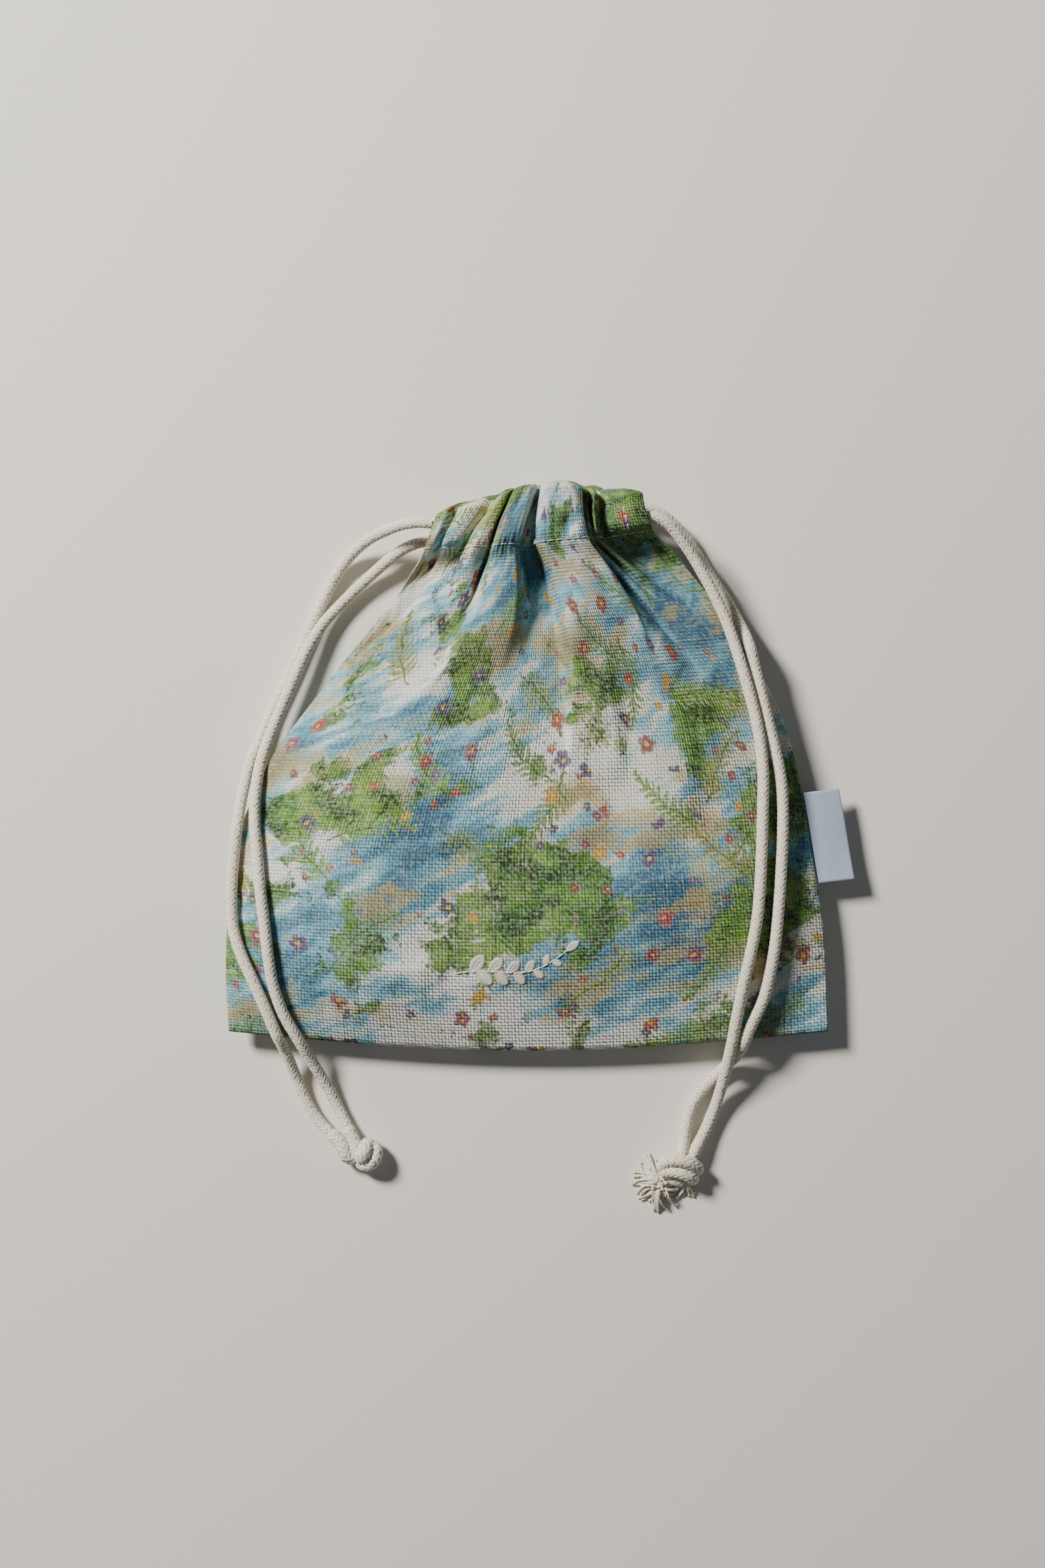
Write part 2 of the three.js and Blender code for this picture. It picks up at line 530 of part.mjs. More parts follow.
const cordRadius = cordDiameter / 2;
const leftKnotParts = (grow) => joined([
  wrap([-61.6, -131, 5.9], 3.5, -0.85, 0.15, cordRadius + grow),
  wrap([-57.4, -133.8, 5.9], 3.5, -0.35, -0.2, cordRadius + grow),
  solidOf(tubeGeometry([[-64.6, -128.6, 5.6], [-61, -131.6, 5.8], [-57, -134.2, 5.8], [-54.6, -135.4, 5.6]],
    2.6 + grow)),
  solidOf(tubeGeometry([[-60, -133, 3.6], [-63.6, -134, 2.5], [-66.8, -133.6, 2.3]], cordRadius + grow)),
]);
const rightKnotParts = (grow) => joined([
  wrap([50.2, -135.2, 5.9], 3.6, -1.75, 0.15, cordRadius + grow),
  wrap([47.6, -139, 5.9], 3.5, -2.3, -0.15, cordRadius + grow),
  solidOf(tubeGeometry([[51.6, -132.6, 5.4], [49.6, -136, 5.8], [46.6, -140, 5.8], [45.4, -141.6, 5.4]],
    2.6 + grow)),
]);
const leftEnds = [leftUpperStrand.slice(-3), leftLowerStrand.slice(-3)].map(socketOf);
const rightEnds = [rightUpperStrand.slice(-3), rightLowerStrand.slice(-3)].map(socketOf);
const withoutEnds = (knot, ends) => geometryOf(ends.reduce((left, end) => left.subtract(end), knot));
addMesh('left_knot', withoutEnds(leftKnotParts(0), leftEnds), cotton);
addMesh('right_knot', withoutEnds(rightKnotParts(0), rightEnds), cotton);

// A frayed cord end: the strands of the braid spread out flat in a ragged star
function frayGeometry([x, y], reaches, height) {
  const count = reaches.length;
  const points = [[x, y, height], [x, y, touchGap]];
  reaches.forEach((reach, index) => {
    const angle = 2 * Math.PI * index / count;
    const place = (share) => [x + reach * share * Math.cos(angle), y + reach * share * Math.sin(angle)];
    points.push([...place(0.55), height * 0.85], [...place(1), 1.6], [...place(1), touchGap]);
  });
  const faces = [];
  for (let index = 0; index < count; index += 1) {
    const a = 2 + 3 * index;
    const b = 2 + 3 * ((index + 1) % count);
    faces.push([0, a, b], [a, a + 1, b + 1], [a, b + 1, b], [a + 1, a + 2, b + 2], [a + 1, b + 2, b + 1]);
    faces.push([1, b + 2, a + 2]);
  }
  return closedGeometry(points, faces);
}
const longFray = [7.4, 5.2, 6.8, 5, 7.6, 5.2, 7.2, 5.4, 7.8, 5, 8.4, 5.4, 8.6, 5.2, 7, 5];
const shortFray = [5.6, 3.6, 4.6, 3.4, 4.4, 3.4, 5, 3.6, 6.2, 3.8, 6, 3.8];
const rightKnotSpace = rightKnotParts(touchGap);
const longEnd = solidOf(frayGeometry([38.8, -145], longFray, 5.4)).subtract(rightKnotSpace);
const shortEnd = solidOf(frayGeometry([52, -144.6], shortFray, 4.4)).subtract(rightKnotSpace);
addMesh('right_frayed_end_long', geometryOf(longEnd), cotton);
addMesh('right_frayed_end_short', geometryOf(shortEnd), cotton);

export default pouch;
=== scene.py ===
import random
from math import atan2, cos, hypot, pi, sin, sqrt

import bpy
import numpy as np
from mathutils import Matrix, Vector
from mathutils.bvhtree import BVHTree


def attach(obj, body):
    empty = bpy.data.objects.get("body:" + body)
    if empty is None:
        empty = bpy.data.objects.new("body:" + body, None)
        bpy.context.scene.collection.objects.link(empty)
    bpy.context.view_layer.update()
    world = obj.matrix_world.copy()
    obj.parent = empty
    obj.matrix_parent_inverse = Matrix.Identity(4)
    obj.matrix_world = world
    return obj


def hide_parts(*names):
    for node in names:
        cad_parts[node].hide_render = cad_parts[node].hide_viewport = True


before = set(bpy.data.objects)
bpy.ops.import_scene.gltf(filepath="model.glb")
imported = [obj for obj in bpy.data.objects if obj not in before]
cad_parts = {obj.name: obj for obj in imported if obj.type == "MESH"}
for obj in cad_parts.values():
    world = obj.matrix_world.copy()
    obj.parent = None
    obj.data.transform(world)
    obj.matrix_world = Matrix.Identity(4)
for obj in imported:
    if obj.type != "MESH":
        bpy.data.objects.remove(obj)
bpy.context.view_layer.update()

MM = 0.001

# The camera looks straight down on the pouch from arm's length, as a phone or a 50 mm lens held
# over a table does. The frame is 535 mm tall at the height of the cloth.
view_centre = (-4.8 * MM, -5.6 * MM)
view_height = 753 * MM

camera_data = bpy.data.cameras.new("camera")
camera_data.lens = 50
camera_data.sensor_fit = "VERTICAL"
camera_data.sensor_height = 36
camera = bpy.data.objects.new("camera", camera_data)
camera.location = (*view_centre, view_height)
bpy.context.collection.objects.link(camera)
bpy.context.scene.camera = camera


# Two cords of natural cotton, 4 mm across, braided from sixteen yarns over a soft core. Each runs
# from its knot through the front casing, round the casing's far end and back through the back
# casing to the same knot.
cord_radius = 2.0
cord_clearance = 0.8
cloth_thickness = 0.9
mouth_gap = 5.0
casing_depth = 21.0
back_pleat_depth = 4.2
back_pleat_count = 8
rest_clearance = 0.9
casing_half = cord_radius + cord_clearance
back_cord_z = rest_clearance + back_pleat_depth + cloth_thickness + casing_half
front_cord_z = back_cord_z + 2 * casing_half + 2 * cloth_thickness + mouth_gap

base_width = 205.6
base_centre_x = -3.3
base_corner_y = -90.0
bottom_bow = 6.6
mouth_width = 70.0
mouth_centre_x = 0.3
left_height = 175.4
right_height = 182.5
mouth_bow = 8.0
panel_length = (left_height + right_height) / 2 + mouth_bow
stitch_row = 1 - casing_depth / panel_length

# Side edges as [row, width share between mouth and base, height share], and the bow of each row
left_edge = [
    [0, 0.985, 0], [0.10, 1, 0.115], [0.30, 0.965, 0.345], [0.42, 0.865, 0.46], [0.50, 0.77, 0.54],
    [0.57, 0.65, 0.607], [0.69, 0.40, 0.735], [0.79, 0.19, 0.842], [0.887, 0.045, 0.93],
    [0.95, 0.005, 0.972], [1, -0.02, 1],
]
right_edge = [
    [0, 1, 0], [0.13, 0.985, 0.15], [0.33, 0.91, 0.347], [0.47, 0.83, 0.497], [0.56, 0.745, 0.595],
    [0.65, 0.595, 0.694], [0.75, 0.41, 0.793], [0.84, 0.17, 0.893], [0.887, 0.065, 0.927],
    [0.95, 0.01, 0.975], [1, 0, 1],
]
row_bows = [[0, -bottom_bow], [0.4, -2], [0.75, -3], [stitch_row, -2], [1, mouth_bow]]


def through(rows, t):
    """Monotone cubic through rows of [t, a, b, ...]; one array for each of a, b, ..."""
    table = np.array(rows, dtype=float)
    knots, values = table[:, 0], table[:, 1:]
    at = np.clip(np.asarray(t, dtype=float), knots[0], knots[-1])
    span = np.diff(knots)
    slope = np.diff(values, axis=0) / span[:, None]
    before, after = slope[:-1], slope[1:]
    safe = np.where(before * after > 0, before + after, 1.0)
    middle = np.where(before * after > 0, 2 * before * after / safe, 0.0)
    tangent = np.vstack([slope[:1], middle, slope[-1:]])
    low = np.clip(np.searchsorted(knots, at, side="left") - 1, 0, len(span) - 1)
    run = np.asarray(span[low])[..., None]
    s = np.asarray(at - knots[low])[..., None] / run
    bent = run * (tangent[low] * s * (1 - s) ** 2 - tangent[low + 1] * s * s * (1 - s))
    level = values[low] * (1 + 2 * s) * (1 - s) ** 2 + values[low + 1] * s * s * (3 - 2 * s)
    return np.moveaxis(level + bent, -1, 0)


def mix(a, b, share):
    return a + (b - a) * share


def smooth(low, high, value):
    s = np.clip((value - low) / (high - low), 0, 1)
    return s * s * (3 - 2 * s)


def edge_point(rows, side, height, row):
    share, rise = through(rows, row)
    mouth_x = mouth_centre_x + side * mouth_width / 2
    base_x = base_centre_x + side * base_width / 2
    return mix(mouth_x, base_x, share), base_corner_y + rise * height


def plan_point(across, row):
    left_x, left_y = edge_point(left_edge, -1, left_height, row)
    right_x, right_y = edge_point(right_edge, 1, right_height, row)
    bow = through(row_bows, row)[0] * np.sin(np.pi * across)
    return mix(left_x, right_x, across), mix(left_y, right_y, across) + bow


left_upper_strand = [
    [-39.8, 82.5, 20.2], [-45.5, 82, 17.5], [-51.1, 80.5, 13.5], [-56.8, 78.2, 9.3],
    [-61.8, 74.8, 6], [-65.9, 70.5, 3.8], [-69.3, 65.5, 2.7], [-72.5, 59.5, 2.3], [-76.1, 52.3, 2.3],
    [-80.2, 43.2, 2.3], [-83.9, 34.5, 2.3], [-87.5, 26.6, 2.3], [-91.6, 18.2, 2.6], [-95.2, 9.5, 3.8],
    [-98.4, 0.5, 6.5], [-100.5, -9.8, 10], [-101.8, -20, 12.4], [-103, -31.4, 13], [-103.6, -42.7, 13.3],
    [-103.2, -53, 13.8], [-100.7, -62, 14.8], [-96.6, -71.1, 15.6], [-93, -79.1, 15.4], [-89.3, -88.2, 14.2],
    [-87.7, -92.2, 12.8], [-85.7, -97.3, 8.8], [-82.7, -106.4, 4], [-78.9, -115.5, 2.6],
    [-74.3, -122.3, 2.6], [-67.8, -128.6, 4.2],
]
left_lower_strand = [
    [-39.8, 77, 8.6], [-45.5, 74.8, 7.5], [-51.1, 70.9, 6], [-56.8, 66.1, 4.4],
    [-62.5, 60.9, 3.6], [-68.2, 55.2, 3.6], [-73.4, 49.3, 4.6], [-78, 41.8, 5.8], [-81.4, 34.5, 6.4],
    [-84.8, 26.6, 6.6], [-88.4, 18.2, 6.8], [-91.6, 10, 7.8], [-94.1, 1.6, 10.2], [-95.5, -8.6, 13.4],
    [-95.5, -18.9, 15.2], [-94.5, -29.1, 17], [-93.4, -40.5, 18], [-92, -51.8, 18.4], [-90.7, -63.2, 18.1],
    [-89.1, -73.4, 17.1], [-85.9, -83.2, 15.4], [-81.1, -92.3, 12.9], [-76.6, -100.9, 8], [-72, -109.5, 4.2],
    [-68, -117.7, 2.8], [-63.2, -127, 4.2],
]
right_upper_strand = [
    [42, 87, 8], [47, 83.4, 6.6], [51.6, 78.6, 5], [56.1, 71.8, 3.6], [60.5, 65, 3.2],
    [65.2, 57.3, 4.6], [69.6, 48.6, 8.6], [72.2, 41.4, 13.9], [74.2, 33.2, 14.4], [76.3, 24.3, 15],
    [78.5, 15.2, 15.4], [80.7, 6.1, 15.7], [82.5, -3, 16], [83.2, -13.2, 16.7], [83, -24.5, 17.7],
    [82.5, -33.6, 18.4], [81.8, -43.9, 19.2], [80.7, -56.4, 19.2], [79.3, -66.6, 18.5], [76.8, -78, 16.8],
    [73, -87, 14.9], [70.6, -93.4, 12.6], [68.6, -98.4, 7.8], [64.3, -103.4, 3.6], [58.4, -109.5, 2.3],
    [54.1, -115.5, 2.3], [51.8, -122.3, 2.8], [50.2, -131.6, 4.6],
]
right_lower_strand = [
    [39.4, 84.2, 21.2], [44.2, 81.8, 20.5], [48.4, 77.4, 19], [52.6, 71.6, 17.2],
    [56.6, 65, 16.2], [60.2, 58.4, 15.6], [63.9, 50.5, 15.4], [66.8, 42.5, 15.6], [69.3, 34.5, 16.2],
    [71.8, 25.5, 16.9], [74.1, 16.4, 17.2], [75.8, 6.1, 17.7], [76.4, -4.1, 18.5], [76.1, -15.5, 19.6],
    [75.7, -26.8, 20.5], [75, -40.5, 21.3], [73.9, -51.8, 21.4], [71.8, -63.2, 20.8], [69.5, -74.5, 18.9],
    [67.7, -84.8, 16.1], [66.1, -95, 13], [64.5, -104.1, 8.8], [62.5, -113.2, 4.6], [59.3, -122.3, 3],
    [53.9, -132.6, 4.6],
]
cord_spacing = 4.8  # between the two cords that run side by side in one casing
line_share = cord_spacing / 2 / (left_height * (left_edge[-1][2] - left_edge[-3][2]))
upper_line = 0.5 + line_share
lower_line = 0.5 - line_share
turn_start = mouth_width / 2 - 6.2  # where a cord leaves the front casing for the back one
turn_reach = 4.2  # how far it bulges out on the way


def in_casing(x, line, z):
    """Where a cord on its line in a casing is at x."""
    across = (x - mouth_centre_x) / mouth_width + 0.5
    return [x, float(plan_point(across, mix(stitch_row, 1, line))[1]), z]


def hidden_run(front_line, back_line, side):
    """The stretch of a cord inside the two casings, with the turn between them at the far end."""
    exit_x = mouth_centre_x + side * mouth_width / 2
    turn_x = mouth_centre_x - side * turn_start
    ways = [mix(exit_x, turn_x, step / 8) for step in range(9)]
    front = [in_casing(x, front_line, front_cord_z) for x in ways]
    back = [in_casing(x, back_line, back_cord_z) for x in ways[::-1]]
    turn = []
    for share in (0.1, 0.3, 0.5, 0.7, 0.9):
        turn.append([turn_x - side * turn_reach * sin(pi * share), mix(front[-1][1], back[0][1], share),
                     mix(back_cord_z, front_cord_z, (1 + cos(pi * share)) / 2)])
    return front + turn + back


def way_along(path):
    """How far each point of a path is from its start."""
    return np.concatenate([[0], np.cumsum(np.linalg.norm(np.diff(path, axis=0), axis=1))])


def even_path(points, spacing, closed=False):
    """A Catmull-Rom curve through the points, as points at an even spacing."""
    knots = np.array(points, dtype=float)
    if closed:
        knots = np.vstack([knots[-1], knots, knots[0], knots[1]])
    else:
        knots = np.vstack([2 * knots[0] - knots[1], knots, 2 * knots[-1] - knots[-2]])
    fine = []
    s = np.linspace(0, 1, 24, endpoint=False)[:, None]
    for i in range(1, len(knots) - 2):
        a, b, c, d = knots[i - 1:i + 3]
        fine.append(0.5 * (2 * b + (c - a) * s + (2 * a - 5 * b + 4 * c - d) * s ** 2
                           + (3 * b - a - 3 * c + d) * s ** 3))
    fine = np.vstack(fine + [knots[-2][None, :]])
    along = way_along(fine)
    even = np.linspace(0, along[-1], max(int(round(along[-1] / spacing)), 4) + 1)
    return np.stack([np.interp(even, along, fine[:, axis]) for axis in range(3)], axis=1)


def new_piece(name, points, faces, relief=None, uvs=None):
    """A smooth mesh object from points in millimetres, with a value and a UV for each point."""
    mesh = bpy.data.meshes.new(name)
    mesh.from_pydata((np.asarray(points) * MM).tolist(), [], [list(map(int, face)) for face in faces])
    if uvs is not None:
        layer = mesh.uv_layers.new(name="cloth")
        index = np.empty(len(mesh.loops), dtype=np.int32)
        mesh.loops.foreach_get("vertex_index", index)
        layer.data.foreach_set("uv", np.asarray(uvs, dtype=np.float32)[index].ravel())
    if relief is not None:
        mesh.attributes.new("relief", "FLOAT", "POINT").data.foreach_set("value", np.ravel(relief))
    mesh.polygons.foreach_set("use_smooth", [True] * len(mesh.polygons))
    mesh.update()
    piece = bpy.data.objects.new(name, mesh)
    bpy.context.collection.objects.link(piece)
    return piece


braid_yarns = 8  # carriers each way round the cord
braid_pitch = 13.0  # length in which one carrier goes once round, millimetres
braid_relief = 0.22  # share of the radius by which a yarn's crown stands out
crown_fullness = 0.6  # 1 is a plain sine arch, less is fuller


def braid_height(angle, along):
    """Relief of a two-over, two-under braid: the crowns of the yarns that lie on top."""
    about, onward = braid_yarns * angle / (2 * pi), braid_yarns * along / braid_pitch
    one, other = about + onward, about - onward
    one_on_top = (np.floor(one) + np.floor(other)) % 4 < 2
    return np.where(one_on_top, *(np.sin(np.pi * (yarn % 1)) ** crown_fullness for yarn in (one, other)))


def cord_tube(path, radius, sides=36, ends=(1.0, 1.0)):
    """Points, faces and relief of a braided tube round a path; ends are its widths there, as shares."""
    forward = np.gradient(path, axis=0)
    forward /= np.linalg.norm(forward, axis=1)[:, None]
    side = np.empty_like(path)
    first = np.cross(forward[0], [0.0, 0.0, 1.0])
    side[0] = first / np.linalg.norm(first)
    for i in range(1, len(path)):
        turned = side[i - 1] - forward[i] * np.dot(side[i - 1], forward[i])
        side[i] = turned / np.linalg.norm(turned)
    up = np.cross(side, forward)
    along = way_along(path)
    angle = np.linspace(0, 2 * pi, sides, endpoint=False)
    relief = braid_height(angle[None, :], along[:, None])
    width = np.full(len(path), 1.0)
    for share, distance in ((ends[0], along), (ends[1], along[-1] - along)):
        if share < 1:
            near = np.clip(distance / radius, 0, 1)
            width *= mix(share, 1, np.sqrt(1 - (1 - near) ** 2))
    reach = (radius * (1 - braid_relief) + radius * braid_relief * relief) * width[:, None]
    points = (path[:, None, :] + reach[..., None] * (
        np.cos(angle)[None, :, None] * side[:, None, :] + np.sin(angle)[None, :, None] * up[:, None, :]))
    points = points.reshape(-1, 3)
    count = len(path)
    ring, index = np.meshgrid(np.arange(count - 1), np.arange(sides), indexing="ij")
    after = (index + 1) % sides
    a = ring * sides + index
    b = ring * sides + after
    faces = np.stack([a, a + sides, b + sides, b], axis=-1).reshape(-1, 4).tolist()
    faces.append(list(range(sides)))
    faces.append(list(range((count - 1) * sides, count * sides))[::-1])
    return points, faces, relief.ravel()


def join_parts(parts):
    """One list of points, faces and relief from several."""
    points, faces, reliefs, shift = [], [], [], 0
    for part_points, part_faces, part_relief in parts:
        points.append(part_points)
        reliefs.append(part_relief)
        faces.extend([[corner + shift for corner in face] for face in part_faces])
        shift += len(part_points)
    return np.vstack(points), faces, np.concatenate(reliefs)


def linear(code):
    """An sRGB hex colour as linear RGBA."""
    channels = [int(code[i:i + 2], 16) / 255 for i in (1, 3, 5)]
    return [c / 12.92 if c <= 0.04045 else ((c + 0.055) / 1.055) ** 2.4 for c in channels] + [1.0]


def add(kind, inputs=None, **settings):
    """Add a node to the tree of the material in hand, set it up and return the output it is used by."""
    node = tree.nodes.new("ShaderNode" + kind)
    for name, value in settings.items():
        setattr(node, name, value)
    for name, value in (inputs or {}).items():
        named, _, place = name.partition("#")
        fitting = [socket for socket in node.inputs if socket.name == named and socket.enabled]
        socket = fitting[int(place or 0)]
        if isinstance(value, str):
            value = linear(value)
        if isinstance(value, bpy.types.NodeSocket):
            tree.links.new(value, socket)
        else:
            socket.default_value = value
    shown = [socket for socket in node.outputs if socket.enabled]
    return shown[0] if shown else None


def new_material(name):
    """An empty node material and its tree."""
    material = bpy.data.materials.new(name)
    material.use_nodes = True
    material.node_tree.nodes.clear()
    return material, material.node_tree


def num(operation, *values):
    """A sum with one or two numbers."""
    return add("Math", {f"Value#{place}": value for place, value in enumerate(values)}, operation=operation)


def times(first, *others):
    for other in others:
        first = num("MULTIPLY", first, other)
    return first


def plus(a, b):
    return num("ADD", a, b)


def minus(a, b):
    return num("SUBTRACT", a, b)


def over(below, colour, share):
    """A colour laid over another one; a share of 1 covers it."""
    return add("Mix", {"Factor": share, "A": below, "B": colour}, data_type="RGBA")


def bump(height, strength, distance):
    return add("Bump", {"Height": height, "Strength": strength, "Distance": distance})


def surface(inputs):
    add("OutputMaterial", {"Surface": add("BsdfPrincipled", inputs)})


# Cotton yarn: matt and creamy, with painted shade where the yarns dive under each other, and short
# fluff on the crowns that gives a soft sheen at grazing angles.
cotton, tree = new_material("natural braided cotton")
place = add("TexCoord").node.outputs["Object"]
fibre = add("TexNoise", {"Vector": place, "Scale": 2600.0, "Detail": 3.0})
patch = add("TexNoise", {"Vector": place, "Scale": 160.0, "Detail": 2.0})
relief = add("Attribute", attribute_name="relief").node.outputs["Fac"]
# Painted shade: dark brown where the braid's relief is low, cream on the yarns' crowns
tone = over("#574c36", "#faf4e4", relief)
crevice_shade_and_wear = over(tone, "#e2d9c2", times(patch, 0.4))
surface({
    "Base Color": crevice_shade_and_wear, "Roughness": 0.88, "Sheen Weight": 0.3, "Sheen Roughness": 0.5,
    "Normal": bump(fibre, 0.35, 0.0002),
})


def take_place(piece, material, slot, *nodes):
    """Give a piece its material; the slot is not used. It stands for CAD nodes of the resting pouch, if any.
    """
    piece.data.materials.append(material)
    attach(piece, "root")
    if nodes:
        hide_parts(*nodes)
    return piece


path_step = 0.35  # spacing of the points along a cord, millimetres
hidden_step = 0.9  # and where it isn't seen
strands = {
    "left_cord_upper_strand": (left_upper_strand, "left_cord", upper_line, front_cord_z, -1),
    "left_cord_lower_strand": (left_lower_strand, "left_cord", lower_line, back_cord_z, -1),
    "right_cord_upper_strand": (right_upper_strand, "right_cord", upper_line, back_cord_z, 1),
    "right_cord_lower_strand": (right_lower_strand, "right_cord", lower_line, front_cord_z, 1),
}
for name, (route, node, line, exit_z, side) in strands.items():
    exit_point = in_casing(mouth_centre_x + side * mouth_width / 2, line, exit_z)
    path = even_path([exit_point] + route, path_step)
    piece = take_place(new_piece(name, *cord_tube(path, cord_radius)), cotton, "cord", node)

for node, front_line, back_line, side in (("left_cord", upper_line, lower_line, -1),
                                          ("right_cord", lower_line, upper_line, 1)):
    path = even_path(hidden_run(front_line, back_line, side), hidden_step)
    tube = cord_tube(path, cord_radius, sides=20)
    take_place(new_piece(node + "_in_casings", *tube), cotton, "cord", node)


# Each cord's two ends are tied together in an overhand knot, drawn tight by hand. The turns of the
# knot bulge over each other. The left ends are cut short; the right ends fray out.
left_turns = [
    # (route, whether it is a closed loop, radius)
    ([[-70.9, -125.6, 3.4], [-67.8, -128.6, 4.2], [-66.4, -130.9, 4.7], [-65.3, -133, 4.5],
      [-63.4, -133.9, 3.8], [-61.2, -133, 3]], False, 2.7),
    ([[-65.1, -123.3, 3.6], [-63.2, -127, 4.2], [-62, -129.6, 4.6], [-60.8, -132.2, 4.6], [-59, -133.6, 4]],
     False, 2.3),
    ([[-65, -129.8, 3.8], [-63.4, -132.4, 4], [-61.4, -134.4, 3.8]], False, 2.3),
    ([[-58, -129.6, 4.4], [-58.6, -130.8, 7], [-59.4, -132.8, 7], [-60, -134, 4.6], [-59.4, -132.6, 2.9],
      [-58.4, -130.6, 2.9]], True, 2.65),
    ([[-55.6, -130.2, 4.4], [-55, -132.4, 5.8], [-56, -135, 6], [-58.2, -136.4, 5], [-60.4, -135.8, 3.4],
      [-58.4, -133.6, 2.4], [-56.6, -131.2, 2.5]], True, 2.3),
]
right_turns = [
    ([[50.9, -127.5, 3.8], [50.2, -131.6, 4.6], [49.8, -134.2, 4.8], [48.8, -137, 4.8]], False, 2.1),
    ([[56.1, -128.4, 4], [53.9, -132.6, 4.6], [53, -134.6, 4.8], [51.4, -137.4, 4.8]], False, 2.1),
    ([[43.2, -137, 4.6], [44.6, -135, 7], [47.8, -134.2, 8.4], [51.6, -134.9, 8.4], [54.6, -136.8, 6.6],
      [55.2, -138.2, 4.4], [52.6, -137.4, 2.4], [47.8, -136.4, 2.2], [44.2, -137, 2.6]], True, 2.25),
    ([[44.2, -138.8, 4.8], [46.6, -138.2, 7], [50, -138.9, 7.6], [52.9, -140.4, 6.4], [53.8, -141.4, 4],
      [51.4, -141, 2.5], [48, -140.4, 2.4], [45.2, -139.8, 2.9]], True, 2.25),
    ([[45.6, -141, 3.2], [48.4, -141.9, 3.4], [51.4, -142, 3.2]], False, 2.3),
]
open_ends = (0.6, 0.2)  # a turn starts slimmer inside its strand and ends in a tip
for node, turns in (("left_knot", left_turns), ("right_knot", right_turns)):
    parts = []
    for route, closed, radius in turns:
        path = even_path(route, path_step, closed)
        parts.append(cord_tube(path, radius, sides=32, ends=(1.0, 1.0) if closed else open_ends))
    take_place(new_piece(node + "_turns", *join_parts(parts)), cotton, "cord", node)

yarn_radius = 0.46
yarn_step = 0.8
bundle_radius = 1.7  # the end of the cord that the yarns spring from


def frayed_end(centre, count, reach, towards, spread, rise, seed):
    """Loose yarns that spring from the end of a cord and sink to the table; angles are in radians."""
    chance = random.Random(seed)
    parts = []
    for index in range(count):
        angle = towards + spread * (chance.random() - 0.5)
        far = reach * chance.uniform(0.55, 1.0)
        high = rise * chance.uniform(0.1, 1.0)
        turn = chance.uniform(-0.8, 0.8)
        base_angle = chance.uniform(0, 2 * pi)
        base = bundle_radius * sqrt(chance.random())
        x, y = centre[0] + base * cos(base_angle), centre[1] + base * sin(base_angle)
        route = []
        for share in (0, 0.25, 0.5, 0.75, 1):
            heading = angle + turn * share
            z = centre[2] * (1 - share) + high * sin(pi * min(share * 1.15, 1))
            route.append([x + far * share * cos(heading), y + far * share * sin(heading),
                          max(z, yarn_radius * 1.1)])
        thickness = yarn_radius * chance.uniform(0.7, 1.15)
        parts.append(cord_tube(even_path(route, yarn_step), thickness, sides=7, ends=(1.0, 0.75)))
    return join_parts(parts)


frays = {
    "right_frayed_end_long": join_parts([
        frayed_end((42.6, -143.2, 3.2), count=78, reach=10.4, towards=3.9, spread=4.2, rise=3.0, seed=5),
        frayed_end((42.4, -143, 3.8), count=70, reach=3.9, towards=0, spread=2 * pi, rise=3.4, seed=14),
    ]),
    "right_frayed_end_short": frayed_end((50, -141.6, 3), count=26, reach=7.6, towards=-0.85, spread=1.5,
                                         rise=1.2, seed=8),
}
for node, fray in frays.items():
    take_place(new_piece(node + "_yarns", *fray), cotton, "cord", node)


# Both panels are light cotton canvas, woven plain, washed soft and printed; the print shows on both
# faces here. The top of each is folded in and stitched down as a casing that the cords gather.
seam_height = 8.5  # the side and bottom seams above the table
side_seam_top = 11.5  # the side seams just below the slits for the cords
belly_height = 22.5  # the front above the table at its middle
seam_gap = 0.3  # between the two panels along their seams
front_ramp = 52.0  # width over which the front rounds off to its seams
front_roundness = 2.3  # power of that curve
back_ramp = 30.0
back_roundness = 2
casing_inset = 0.2  # share by which a casing's inner layer is drawn narrower
front_casing_top = front_cord_z + casing_half + cloth_thickness
back_casing_bottom = back_cord_z - casing_half - cloth_thickness
strip_width = 9.0  # flat strip of cloth beside the left seam, below the slit
fan_length = 25.0  # run over which the gathers fan out to the flat cloth

